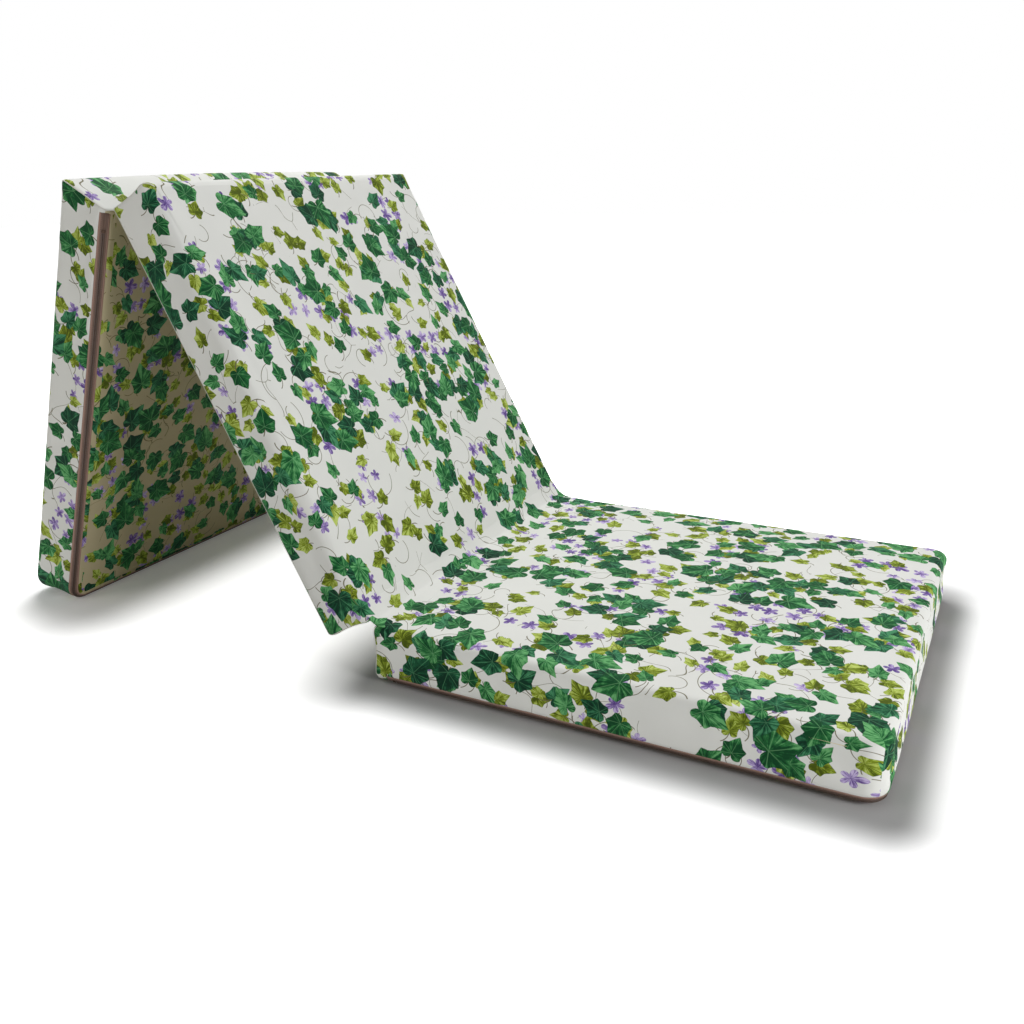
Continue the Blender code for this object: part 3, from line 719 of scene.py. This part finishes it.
# Reach of an outline, and distance from a vein, at shares of half a turn from the tip
LEAF = (
    (0.0, 1.06), (0.035, 0.94), (0.08, 0.82), (0.14, 0.71), (0.20, 0.66), (0.26, 0.70),
    (0.325, 0.76), (0.365, 0.68), (0.42, 0.59), (0.49, 0.53), (0.56, 0.54), (0.635, 0.58),
    (0.70, 0.53), (0.80, 0.44), (0.91, 0.28), (1.0, 0.08),
)
LEAF_VEINS = (
    (0.0, 0.0), (0.165, 1.0), (0.325, 0.0), (0.48, 1.0), (0.635, 0.0), (0.84, 1.0), (1.0, 1.0),
)
BLOSSOM = (
    (0.0, 1.12), (0.06, 1.06), (0.12, 0.90), (0.17, 0.62), (0.2, 0.44), (0.24, 0.60),
    (0.30, 0.86), (0.37, 0.98), (0.44, 0.95), (0.51, 0.78), (0.56, 0.54), (0.6, 0.40),
    (0.64, 0.56), (0.71, 0.80), (0.79, 0.90), (0.86, 0.84), (0.94, 0.60), (1.0, 0.36),
)
BLOSSOM_VEINS = ((0.0, 0.0), (0.2, 1.0), (0.4, 0.0), (0.6, 1.0), (0.8, 0.0), (1.0, 1.0))

# Dark, middle and light tone of each motif, and its veins
GREEN_DARK = (
    (0.002, 0.030, 0.014), (0.011, 0.096, 0.041), (0.065, 0.270, 0.125), (0.130, 0.370, 0.180),
)
GREEN_FRESH = (
    (0.004, 0.058, 0.018), (0.026, 0.172, 0.048), (0.145, 0.430, 0.160), (0.220, 0.520, 0.230),
)
OLIVE = (
    (0.070, 0.100, 0.005), (0.250, 0.330, 0.024), (0.540, 0.650, 0.160), (0.070, 0.095, 0.008),
)
LILAC = (
    (0.110, 0.060, 0.250), (0.350, 0.260, 0.550), (0.660, 0.560, 0.820), (0.080, 0.035, 0.190),
)
GROUND = (0.795, 0.800, 0.762)
# The base cloth's ground is painted shade: the cover's ground made darker and warmer for the shade
# inside the folds
SHADED_BASE_GROUND = (0.520, 0.450, 0.285)
GROUND_SHADE = 0.93
STEM = (0.150, 0.135, 0.070)

# Scale, threshold and shift of the noise that says which cells hold a motif
LILAC_PLACE = (13.0, 0.570, 3.3)
BIG_PLACE = (9.0, 0.528, 4.1)


def leaf(cell, size, spread, shift, turn, colours, place, stalk=True):
    return Motif(cell, size, spread, 0.36, shift, turn, LEAF, LEAF_VEINS, colours, place, stalk)


MOTIFS = (
    Motif(
        0.028, 0.0126, 0.40, 0.0, (3.1, 7.7), 11, BLOSSOM, BLOSSOM_VEINS, LILAC, LILAC_PLACE, False
    ),
    leaf(0.038, 0.0195, 0.45, (11.2, 2.9), 31, OLIVE, (17.0, 0.50, 1.2)),
    leaf(0.045, 0.0235, 0.40, (5.4, 9.1), 74, OLIVE, (14.0, 0.53, 8.2)),
    leaf(0.042, 0.0235, 0.40, (1.7, 4.4), 52, GREEN_FRESH, (15.0, 0.52, 5.1)),
    leaf(0.048, 0.0300, 0.30, (8.8, 1.3), 8, GREEN_DARK, BIG_PLACE),
    leaf(0.054, 0.0325, 0.30, (2.2, 6.5), 63, GREEN_FRESH, BIG_PLACE, stalk=False),
)
PRINT_EDGE = 0.0005

# Factor and shift with which a random number or a noise sets each of these
GROWTH = (0.40, 0.75)
SLIMNESS = (0.45, 0.95)
WOBBLE = (0.06, -0.03)
FAN_TONE = (2.9, -1.45)
STREAK_TONE = (1.6, -0.8)
OWN_TONE = (0.6, -0.30)
TIP_TONE = (0.45, 0.21)
HALF_TONE = 0.13
FAN = (6.5, 2.0, 0.6)
FAN_STRETCH = 0.14
FAN_VARIETY = 9.0
VEIN_WIDTH = 0.04
VEIN_SHARE = 0.5
RIM_FADE = 0.5
RIM_SHARE = 0.4

STALK_WIDTH = 0.0006
STALK_FULLNESS = 1.6
STALK_BEND = 0.8
STALK_END = 0.1
LINE_FULLNESS = 1.5
CURLS = (
    Curl(0.075, 0.45, (4.6, 1.9), 17, 0.024),
    Curl(0.058, 0.45, (9.3, 5.2), 49, 0.015),
)
CURL_WIDTH = 0.00045
CURL_SIZES = (0.5, 0.6)
CURL_WIDENING = 0.15
CURL_START = -0.4
CURL_RARITY = 0.66
STEM_CELL = 0.062
STEM_WIDTH = 0.00045
STEM_WARP = 0.055
STEM_WARP_SCALE = 21.0
STEM_PLACE = (19.0, 0.56)
CLOUDS = (14.0, 3.0)
STREAKS = (110.0, 3.0, 0.65)
WEAVE = (1500.0, 1.0)
COTTON_ROUGHNESS = 0.82
COTTON_BUMP = (0.12, 0.0004)


def scatter(nodes, coords, motif):
    """Cells of a layer: the place in each cell, its random numbers and its middle."""
    mapping = nodes.add("Mapping", {
        "Vector": coords, "Location": (*motif.shift, 0.0),
        "Rotation": (0.0, 0.0, math.radians(motif.turn)),
        "Scale": (1 / motif.cell, 1 / motif.cell, 1.0),
    })
    inputs = {"Vector": mapping.outputs[0], "Scale": 1.0, "Randomness": motif.spread}
    cells = nodes.add("TexVoronoi", inputs, voronoi_dimensions="2D")
    local = nodes.vector("SUBTRACT", mapping.outputs[0], cells.outputs["Position"])
    random = nodes.add("SeparateColor", {"Color": cells.outputs["Color"]})
    return local, random.outputs, cells.outputs["Position"]


def turn_about(nodes, local, random):
    """A place in its cell turned by a random angle, whole and as two coordinates."""
    inputs = {"Vector": local, "Angle": nodes.times(random[0], 2 * math.pi)}
    turned = nodes.add("VectorRotate", inputs, rotation_type="Z_AXIS").outputs[0]
    parts = nodes.add("SeparateXYZ", {"Vector": turned}).outputs
    return turned, parts[0], parts[1]


def is_present(nodes, middle, motif):
    """1 in the cells that hold a motif, read at the cell's middle, so that none is cut."""
    scale, low, shift = motif.place
    inputs = {
        "Vector": nodes.vector("SUBTRACT", middle, (*motif.shift, 0.0)),
        "Angle": -math.radians(motif.turn),
    }
    turned = nodes.add("VectorRotate", inputs, rotation_type="Z_AXIS").outputs[0]
    place = nodes.vector("MULTIPLY_ADD", turned, (motif.cell,) * 3, (shift, -shift, 0.0))
    return nodes.above(nodes.noise(place, scale, 1.0, flat=True), low)


def stalk(nodes, x, y, motif, present):
    """A thin bent stalk from the motif's foot."""
    across = nodes.minus(y, STALK_BEND)
    gap = nodes.off(nodes.distance(x, across), STALK_BEND)
    line = nodes.line(gap, STALK_WIDTH / motif.size, STALK_FULLNESS)
    shown = nodes.times(nodes.above(0.0, x), nodes.above(STALK_END, across))
    return nodes.times(line, shown, present)


def draw(nodes, coords, streaks, under, motif):
    """Draws one layer of leaves or blossoms over the colour under it."""
    local, random, middle = scatter(nodes, coords, motif)
    _, along, across = turn_about(nodes, local, random)
    scale = nodes.times(nodes.scaled(random[1], *GROWTH), motif.size / motif.cell)
    x = nodes.plus(nodes.over(along, scale), motif.foot)
    y = nodes.times(nodes.over(across, scale), nodes.scaled(random[2], *SLIMNESS))
    radius = nodes.distance(x, y)
    half_turn = nodes.over(nodes.size(nodes.turn(y, x)), math.pi)
    reach = nodes.plus(nodes.ramp(half_turn, motif.outline), nodes.scaled(streaks, *WOBBLE))
    present = is_present(nodes, middle, motif)
    depth = nodes.times(nodes.minus(reach, radius), motif.size / PRINT_EDGE)
    inside = nodes.times(nodes.times(depth, 1.0, clamp=True), present)
    if motif.stalk:
        under = nodes.mix(stalk(nodes, x, y, motif, present), under, STEM)
    colour = shade(nodes, x, y, radius, streaks, random, motif)
    vein = nodes.line(nodes.times(radius, nodes.ramp(half_turn, motif.veins)), VEIN_WIDTH)
    colour = nodes.mix(nodes.times(vein, VEIN_SHARE), colour, motif.colours[3])
    rim = nodes.minus(1.0, nodes.times(depth, RIM_FADE), clamp=True)
    colour = nodes.mix(nodes.times(rim, RIM_SHARE), colour, motif.colours[0])
    return nodes.mix(inside, under, colour)


def shade(nodes, x, y, radius, streaks, random, motif):
    """Painted tones of a motif: streaks that fan out from its foot, and one half lighter."""
    own = nodes.times(random[0], FAN_VARIETY)
    place = {0: nodes.turn(y, x), 1: nodes.times(radius, FAN_STRETCH), 2: own}
    fan = nodes.noise(nodes.add("CombineXYZ", place).outputs[0], *FAN)
    tone = nodes.plus(
        nodes.scaled(fan, *FAN_TONE), nodes.scaled(streaks, *STREAK_TONE),
        nodes.times(nodes.math("SIGN", y), HALF_TONE), nodes.scaled(random[2], *OWN_TONE),
        nodes.scaled(radius, *TIP_TONE), clamp=True,
    )
    dark, mid, light, _ = motif.colours
    colour = nodes.mix(nodes.times(tone, 2.0, clamp=True), dark, mid)
    return nodes.mix(nodes.scaled(tone, 2.0, -1.0, clamp=True), colour, light)


def curls(nodes, coords, under, curl):
    """Thin curled tendrils: most of a widening ring in each cell."""
    local, random, _ = scatter(nodes, coords, curl)
    turned, along, across = turn_about(nodes, local, random)
    turn = nodes.turn(across, along)
    size = nodes.scaled(random[1], *(curl.radius * share for share in CURL_SIZES))
    ring = nodes.times(size, nodes.scaled(turn, CURL_WIDENING, 1.0))
    radius = nodes.times(nodes.vector("LENGTH", turned), curl.cell)
    line = nodes.line(nodes.off(radius, ring), CURL_WIDTH, LINE_FULLNESS)
    shown = nodes.times(nodes.above(turn, CURL_START), nodes.above(random[2], CURL_RARITY))
    return nodes.mix(nodes.times(line, shown), under, STEM)


def tendrils(nodes, coords, under):
    """Thin winding stems: the edges of warped cells, broken here and there."""
    warp = nodes.noise(coords, STEM_WARP_SCALE, 0.0, flat=True, output="Color")
    place = nodes.vector("MULTIPLY_ADD", warp, (STEM_WARP, STEM_WARP, 0.0), coords)
    edges = nodes.add(
        "TexVoronoi", {"Vector": place, "Scale": 1 / STEM_CELL},
        feature="DISTANCE_TO_EDGE", voronoi_dimensions="2D",
    )
    line = nodes.line(edges.outputs["Distance"], STEM_WIDTH / STEM_CELL, LINE_FULLNESS)
    scale, low = STEM_PLACE
    shown = nodes.above(nodes.noise(coords, scale, 0.0, flat=True), low)
    return nodes.mix(nodes.times(line, shown), under, STEM)


def printed_cotton(name, ground):
    nodes, coords = new_nodes(name, "print")
    cloudy = nodes.noise(coords, *CLOUDS)
    colour = nodes.mix(cloudy, ground, tuple(GROUND_SHADE * value for value in ground))
    colour = tendrils(nodes, coords, colour)
    for curl in CURLS:
        colour = curls(nodes, coords, colour, curl)
    streaks = nodes.noise(coords, *STREAKS, flat=True)
    for motif in MOTIFS:
        colour = draw(nodes, coords, streaks, colour, motif)
    weave = nodes.noise(coords, *WEAVE)
    nodes.put(nodes.shader, {"Sheen Weight": 0.03, "Specular IOR Level": 0.12})
    return nodes.finish(colour, COTTON_ROUGHNESS, 0.0, weave, *COTTON_BUMP)


TAPE_WIDTH = 0.0075
TAPE_COLOURS = ((0.090, 0.052, 0.038), (0.195, 0.120, 0.092))
TAPE_EDGE_AND_HIGHLIGHT = (0.330, 0.200, 0.158)
TAPE_STITCH = (0.300, 0.200, 0.160)
RIBS_PER_METRE = 1100.0
STITCHES_PER_METRE = 380.0
STITCH_GAP = 0.25
STITCH_SHARPNESS = 22.0
TAPE_EDGE_PLACE = (7.0, -4.2)
TAPE_ROUGHNESS = 0.78
TAPE_BUMP = (0.35, 0.0003)


def woven_tape(name):
    """Zip tape: fine slanting ribs, a stitched line and a paler outer edge, partly a painted
    highlight.
    """
    nodes, coords = new_nodes(name, "print")
    along, across, _ = nodes.add("SeparateXYZ", {"Vector": coords}).outputs
    slant = nodes.scaled(across, TAPE_WIDTH, along)
    ribs = nodes.math("PINGPONG", nodes.times(slant, RIBS_PER_METRE), 0.5)
    worn = nodes.noise(coords, 120.0, 3.0)
    tone = nodes.scaled(ribs, 0.7, nodes.times(worn, 0.6), clamp=True)
    colour = nodes.mix(tone, *TAPE_COLOURS)
    # The paler outer edge is partly the tape's own edge and partly a painted highlight for light
    # thrown up by the floor
    edge = nodes.scaled(across, *TAPE_EDGE_PLACE, clamp=True)
    colour = nodes.mix(edge, colour, TAPE_EDGE_AND_HIGHLIGHT)
    stitch = nodes.times(nodes.off(across, 0.50), STITCH_SHARPNESS)
    stitch = nodes.minus(1.0, stitch, clamp=True)
    step = nodes.math("FRACT", nodes.times(along, STITCHES_PER_METRE))
    colour = nodes.mix(nodes.times(stitch, nodes.above(step, STITCH_GAP)), colour, TAPE_STITCH)
    return nodes.finish(colour, TAPE_ROUGHNESS, 0.0, ribs, *TAPE_BUMP)


# Two tones in patches: scale, detail and roughness of the noises, and the bump's size
Look = namedtuple("Look", "dark light patches grain roughness uneven metallic bump")
METAL = ((160.0, 4.0, 0.6), (1500.0, 2.0))
LOOKS = {
    "zip_coil": Look(
        (0.060, 0.036, 0.026), (0.120, 0.076, 0.056), (420.0, 2.0), None, 0.32, 0.2, 0.0,
        (0.1, 0.0002),
    ),
    "bronzed_metal": Look(
        (0.13, 0.08, 0.05), (0.28, 0.19, 0.12), *METAL, 0.32, 0.25, 0.95, (0.08, 0.0001)
    ),
    "dark_bronze": Look(
        (0.045, 0.028, 0.020), (0.090, 0.058, 0.042), *METAL, 0.45, 0.25, 0.95, (0.08, 0.0001)
    ),
    "foam": Look(
        (0.62, 0.52, 0.28), (0.84, 0.77, 0.54), (650.0, 3.0, 0.7), None, 0.95, 0.0, 0.0,
        (0.8, 0.0012),
    ),
    "seam_cloth": Look(
        (0.55, 0.54, 0.49), (0.80, 0.79, 0.74), (900.0, 2.0), None, 0.8, 0.0, 0.0, (0.4, 0.0003)
    ),
}


def plain_material(name):
    """Plastic, metal, foam or thread, as its look says."""
    look = LOOKS[name]
    nodes, place = new_nodes(name, "object")
    patches = nodes.noise(place, *look.patches)
    grain = nodes.noise(place, *look.grain) if look.grain else patches
    rough = nodes.scaled(patches, look.uneven, look.roughness) if look.uneven else look.roughness
    colour = nodes.mix(patches, look.dark, look.light)
    return nodes.finish(colour, rough, look.metallic, grain, *look.bump)


cotton = printed_cotton("printed_cotton", GROUND)
# The base cloth: the same print on the painted-shade ground
shaded_base_cotton = printed_cotton("printed_cotton_base", SHADED_BASE_GROUND)
tape_cloth = woven_tape("zip_tape")
coil_plastic, slider_metal, stop_metal, foam_body, seam_cloth = map(plain_material, LOOKS)

# What each zone of a skin is in the scene and in the CAD model
ZONE_PIECES = (
    ("cover_cloth", "cover", "printed_cotton", cotton, COVER_THICKNESS),
    ("base_cloth", "base_panel", "printed_cotton_base", shaded_base_cotton, COVER_THICKNESS),
    ("zip_tape_upper_cloth", "zip_tape_upper", "brown_zip_tape", tape_cloth, TAPE_THICKNESS),
    ("zip_tape_lower_cloth", "zip_tape_lower", "brown_zip_tape", tape_cloth, TAPE_THICKNESS),
)


# Sections

def run_columns(skin, wanted):
    """Groups of neighbouring columns that a rule picks, each in order round the skin."""
    chosen = [wanted(station) for station in skin.stations]
    if all(chosen):
        return [list(range(skin.count)) + [0]]
    start = chosen.index(False)
    order = [(start + step) % skin.count for step in range(skin.count)]
    return [list(run) for picked, run in groupby(order, chosen.__getitem__) if picked]


def middle_column(skin, corner):
    return skin.stations.index((corner, 0.5))


def seam_bodies(name, skin, placed):
    """Sewn ridges up the corners that fold and along the edge where there is no zip."""
    section = SECTIONS[name]
    corners = ["near_root", "far_root"] + (["near_end", "far_end"] if section.end_folds else [])
    bodies = []
    for corner in corners:
        column = middle_column(skin, corner)
        path = [placed[row * skin.count + column] for row in range(SEAM_RING, len(RINGS))]
        bodies.append(tube_points(path, SEAM_RADIUS))
    for run in run_columns(skin, lambda station: not is_zipped(section, station)):
        path = [placed[SEAM_RING * skin.count + column] for column in run]
        bodies.append(tube_points(path, LOW_SEAM_RADIUS))
    return join_bodies(bodies)


def keep_above_floor(piece):
    for vertex in piece.data.vertices:
        vertex.co.z = max(vertex.co.z, 0.0)


def settle_piece(name, piece):
    """Lets a piece ride its section; the standing section's pieces, whose cloth gives at its fold,
    stay fixed in the world instead.
    """
    if name == "head":
        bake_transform(piece)
    else:
        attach(piece, SECTIONS[name].body)


def make_section(name):
    section = SECTIONS[name]
    skin = build_skin(name)
    points = lie(name, skin)
    if name == "head":
        points = spread(points)
    world = to_world(name, points)
    world[:, 2] = np.maximum(world[:, 2], FLOOR_CLEARANCE if name == "head" else 0.0)
    indices = [ZONES.index(zone) for zone in skin.zones]
    materials = [row[3] for row in ZONE_PIECES]
    make_foam(name, skin)
    whole = subdivide(mesh_object(f"{name}_skin", world, skin.faces, materials, skin.uvs, indices))
    placed = [vertex.co.copy() for vertex in whole.data.vertices][:len(world)]
    for index, (label, node, slot, material, thickness) in enumerate(ZONE_PIECES):
        piece = split_zone(whole, index, f"{name}_{label}", material)
        modify(piece, "SOLIDIFY", thickness=thickness, offset=-1.0)
        keep_above_floor(piece)
        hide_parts(f"{name}_{node}")
        settle_piece(name, piece)
    bpy.data.objects.remove(whole, do_unlink=True)
    seams = mesh_object(f"{name}_seams", *seam_bodies(name, skin, placed), (seam_cloth,))
    settle_piece(name, seams)


def make_foam(name, skin):
    """The foam block inside the covers, a little smaller than they are."""
    size = np.array((LENGTH, WIDTH, HEIGHT))
    middle = np.array((LENGTH / 2, 0.0, HEIGHT / 2))
    points = middle + (skin.points - middle) * (1 - 2 * FOAM_INSET / size)
    piece = mesh_object(f"{name}_foam_block", to_world(name, points), skin.faces, (foam_body,))
    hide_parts(f"{name}_foam_core")
    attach(piece, SECTIONS[name].body)


# Zip coils

COIL_PITCH = 0.0016
COIL_START = 0.0065
COIL_INNER = 0.0004
COIL_OUTER = 0.0021
COIL_PROFILE = ((0.0, 0.0), (0.0, 0.60), (0.3, 1.0), (0.7, 1.0), (1.0, 0.60), (1.0, 0.0))
COIL_HEIGHT = 0.00120
COIL_TOOTH = (0.1, 0.62)
CORD_HEIGHT = 0.00055
CORD_STEPS = 160


def coil_path(section):
    """Length of a zip, and a function that gives the place and way at a length along it."""
    inset = BASE_EDGE * (1 - math.cos(ZIP_ANGLE))
    half, radius = WIDTH / 2 - inset, FREE_CORNER - inset
    first = section.inset + COIL_START
    if not section.zip_end:
        length = LENGTH - 2 * first
        return length, lambda s: ((LENGTH - first - s, half), (-1.0, 0.0))
    straight, arc = LENGTH - FREE_CORNER - first, radius * math.pi / 2
    runs = (straight, arc, 2 * (half - radius), arc, straight)

    def at(s):
        place, way = complex(first, -half), 1 + 0j
        for index, run in enumerate(runs):
            step = min(s, run)
            s -= step
            if index % 2:
                turn = cmath.exp(1j * step / radius)
                place += way * 1j * (1 - turn) * radius
                way *= turn
            else:
                place += way * step
        return (place.real, place.imag), (way.real, way.imag)

    return sum(runs), at


def coil_slice(at, s, side, height):
    """Corners of a coil's section at s: side 1 is towards the cover and -1 to the base."""
    (u, v), (du, dv) = at(s)
    swing, lean = math.sin(ZIP_ANGLE), math.cos(ZIP_ANGLE)
    out = np.array((dv * lean, -du * lean, -swing))
    across = np.array((dv * swing, -du * swing, lean))
    base = np.array((u, v, BASE_EDGE * (1 - swing)))
    slices = []
    for share, rise in COIL_PROFILE:
        over = COIL_INNER + share * (COIL_OUTER - COIL_INNER)
        dip = over * over / (2 * BASE_EDGE)
        slices.append(base + across * side * over + out * (rise * height - dip))
    return slices


def swept(at, stops, side, height):
    """A bar along a zip, through the coil's section at each stop."""
    points = [point for s in stops for point in coil_slice(at, s, side, height)]
    return points, row_faces(len(stops), len(COIL_PROFILE))


def make_coils(name):
    section = SECTIONS[name]
    length, at = coil_path(section)
    for side, label in ((1, "upper"), (-1, "lower")):
        bodies = [swept(at, np.linspace(0.0, length, CORD_STEPS), side, CORD_HEIGHT)]
        shift = COIL_PITCH / 2 if side > 0 else 0.0
        for tooth in range(int((length - COIL_PITCH) / COIL_PITCH)):
            start = tooth * COIL_PITCH + shift
            ends = [start + share * COIL_PITCH for share in COIL_TOOTH]
            bodies.append(swept(at, ends, side, COIL_HEIGHT))
        points, faces = join_bodies(bodies)
        points = to_world(name, points)
        piece = mesh_object(f"{name}_zip_coil_{label}_teeth", points, faces, (coil_plastic,))
        piece.data.shade_flat()
        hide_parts(f"{name}_zip_coil_{label}")
        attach(piece, section.body)


# Strips of cloth over the folds

STRIP_ARM = (
    (0.0240, -0.0007), (0.0210, 0.0), (0.016, 0.0006), (0.011, 0.0014), (0.006, 0.0024),
    (0.0025, 0.0033),
)
TOP_STRIP_MARGIN = 0.005
BASE_STRIP_MARGIN = 0.014
STRIP_THICKNESS = 0.0006
STRIP_COLUMNS = 48


def edge_drop(v, on_base):
    """How far a face has bent away next to its long edge."""
    radius = BASE_EDGE if on_base else TOP_EDGE
    over = max(abs(v) - WIDTH / 2 + radius, 0.0)
    return radius - math.sqrt(radius * radius - over * over)


def strip_arm(name, at_end, on_base, v):
    """Points of one half of a fold strip, from its sewn edge to next to the fold."""
    points, places = [], []
    scale = (BASE_FOLD_RISE if on_base else TOP_FOLD_RISE) / TOP_FOLD_RISE
    for reach, lift in STRIP_ARM:
        u = LENGTH - reach if at_end else reach
        lift = (lift * scale if lift > 0 else lift) - edge_drop(v, on_base)
        z = -lift if on_base else HEIGHT + lift + float(crown(u, v))
        points.append((u, v, z))
        places.append((flat_x(name, u), v))
    return to_world(name, points), places


def make_strip(name, first, second, joint, on_base, nodes):
    fold = Vector(JOINTS[joint]["pos_m"])
    shift = BASE_PRINT_SHIFT if on_base else (0.0, 0.0)
    half = WIDTH / 2 - (BASE_STRIP_MARGIN if on_base else TOP_STRIP_MARGIN)
    rows, places = [], []
    for v in np.linspace(-half, half, STRIP_COLUMNS + 1):
        left, left_places = strip_arm(*first, on_base, v)
        right, right_places = strip_arm(*second, on_base, v)
        axis = [fold.x, v + section_frame("foot")[0].y, fold.z]
        rows.append([*left, axis, *right[::-1]])
        middle = (left_places[-1][0] + right_places[-1][0]) / 2
        row_places = [*left_places, (middle, v), *right_places[::-1]]
        places.append([(x + shift[0], y + shift[1]) for x, y in row_places])
    count = len(rows[0])
    cells = grid_cells(len(rows), count)
    faces = [tuple(i * count + j for i, j in cell) for cell in cells]
    uvs = [[places[i][j] for i, j in cell] for cell in cells]
    points = [point for row in rows for point in row]
    # The strip over the base fold takes the base cloth's painted shade
    cloth = shaded_base_cotton if on_base else cotton
    piece = subdivide(mesh_object(name, points, faces, (cloth,), uvs))
    modify(piece, "SOLIDIFY", thickness=STRIP_THICKNESS, offset=0.0)
    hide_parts(*nodes)
    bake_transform(piece)


for section_name in SECTIONS:
    make_section(section_name)
    make_coils(section_name)
make_strip(
    "foot_middle_fold_cloth", ("foot", False), ("middle", False), "middle_foot_fold", False,
    ("foot_fold_flap", "middle_lower_fold_flap", "middle_foot_fold_seam"),
)
make_strip(
    "middle_head_fold_cloth", ("middle", True), ("head", False), "head_middle_fold", True,
    ("middle_upper_fold_flap", "head_fold_flap", "head_middle_fold_seam"),
)
for section_name in SECTIONS:
    for part in ("slider", "pull", "stop_closed", "stop_open"):
        for material_slot in bpy.data.objects[f"{section_name}_zip_{part}"].material_slots:
            material_slot.material = stop_metal if part.startswith("stop") else slider_metal


# Floor, light and camera

CAMERA_PLACE = (0.70406, -1.29333, 0.64002)
CAMERA_TURN = (1.2353401, 0.0246836, 0.5127056)
CAMERA_LENS = 35.489
CAMERA_SHIFT = (0.05446, 0.00817)
WORLD_LEVEL = 0.27
FLOOR_SIZE = 12.0
FLOOR_STANDS = (((0.33, 0.0), (0.31, 0.31), 0.0), ((-0.57, 0.0), (0.03, 0.31), 0.07))
SHADOW_FADE = (0.02, 0.17)
FLOOR_GLOW = 0.95
# Painted shadow: where and how far the floor's seen colour darkens beside the foot section
PAINTED_SHADOW_STAND = ((0.33, -0.02), (0.31, 0.29))
PAINTED_SHADOW_FADE = (0.015, 0.060)
PAINTED_SHADOW_LEVEL = (1.0, 0.0)
PAINTED_SHADOW_SLOPE = 0.6
FLOOR_AND_PAINTED_SHADOW_COLOURS = ((0.93, 0.93, 0.93), (0.44, 0.44, 0.44))
LAMPS = {
    "softbox": ((-0.9, 1.1, 2.6), (0.0, 0.0, 0.1), 1.6, 54, (1.0, 1.0, 1.0)),
    "side": ((2.2, -0.5, 0.9), (0.0, 0.0, 0.25), 1.0, 23, (1.0, 1.0, 1.0)),
    "front": ((-1.6, -2.2, 0.9), (-0.3, -0.3, 0.25), 1.2, 8, (1.0, 0.96, 0.87)),
}


def make_camera():
    data = bpy.data.cameras.new("camera")
    data.sensor_width = 36.0
    data.lens = CAMERA_LENS
    data.shift_x, data.shift_y = CAMERA_SHIFT
    data.clip_start = 0.01
    camera = link_object("camera", data)
    camera.location = CAMERA_PLACE
    camera.rotation_euler = CAMERA_TURN
    bpy.context.scene.camera = camera


def area_lamp(name, place, target, size, power, colour):
    data = bpy.data.lights.new(name, "AREA")
    data.shape = "DISK"
    data.size = size
    data.energy = power
    data.color = colour
    lamp = link_object(name, data)
    lamp.rotation_euler = (Vector(target) - Vector(place)).to_track_quat("-Z", "Y").to_euler()
    lamp.location = place


def reach_from(nodes, place, middle, half, slope=1.0):
    """How far a place on the floor is outside a rectangle, counted by slope along Y."""
    off = nodes.vector("ABSOLUTE", nodes.vector("SUBTRACT", place, (*middle, 0.0)))
    over = nodes.vector("MAXIMUM", nodes.vector("SUBTRACT", off, (*half, 0.0)), (0.0, 0.0, 0.0))
    return nodes.vector("LENGTH", nodes.vector("MULTIPLY", over, (1.0, slope, 1.0)))


def fade(nodes, value, places, levels):
    """A smooth change from one level to another between two places."""
    keys = ("Value", "From Min", "From Max", "To Min", "To Max")
    inputs = zip(keys, (value, *places, *levels))
    return nodes.add("MapRange", inputs, interpolation_type="SMOOTHSTEP").outputs[0]


def seen_rays(nodes):
    """1 for the rays that show the background: from the camera, or off a glossy surface."""
    path = nodes.add("LightPath").outputs
    return nodes.plus(path["Is Camera Ray"], path["Is Glossy Ray"], clamp=True)


def make_floor():
    """A white floor that keeps the shadow near the object and fades to white beyond, with a
    painted shadow, a darker colour as seen, beside the foot section.
    """
    nodes, place = new_nodes("floor", "object")
    glows = [
        fade(nodes, reach_from(nodes, place, middle, half), SHADOW_FADE, (least, FLOOR_GLOW))
        for middle, half, least in FLOOR_STANDS
    ]
    far = nodes.math("MINIMUM", *glows)
    # Painted shadow: the floor's seen colour darkens next to the foot section
    reach = reach_from(nodes, place, *PAINTED_SHADOW_STAND, slope=PAINTED_SHADOW_SLOPE)
    near = fade(nodes, reach, PAINTED_SHADOW_FADE, PAINTED_SHADOW_LEVEL)
    seen = seen_rays(nodes)
    nodes.finish(nodes.mix(nodes.times(seen, near), *FLOOR_AND_PAINTED_SHADOW_COLOURS), 0.9)
    glow = nodes.times(seen, far)
    nodes.put(nodes.shader, {"Specular IOR Level": 0.0, "Emission Strength": glow})
    nodes.put(nodes.shader, {"Emission Color": (1.0, 1.0, 1.0)})
    size = FLOOR_SIZE
    corners = [(-size, -size, 0), (size, -size, 0), (size, size, 0), (-size, size, 0)]
    floor = mesh_object("floor", corners, [(0, 1, 2, 3)], (nodes.owner,))


def make_world():
    """Even light from all round, and a white background."""
    nodes = Nodes(bpy.data.worlds.new("studio"), "Background")
    level = nodes.scaled(seen_rays(nodes), 1.0 - WORLD_LEVEL, WORLD_LEVEL)
    nodes.put(nodes.shader, {"Color": (1.0, 1.0, 1.0), "Strength": level})
    bpy.context.scene.world = nodes.owner


make_camera()
make_world()
make_floor()
for lamp_name, settings in LAMPS.items():
    area_lamp(lamp_name, *settings)
bpy.context.scene.view_settings.view_transform = "Standard"
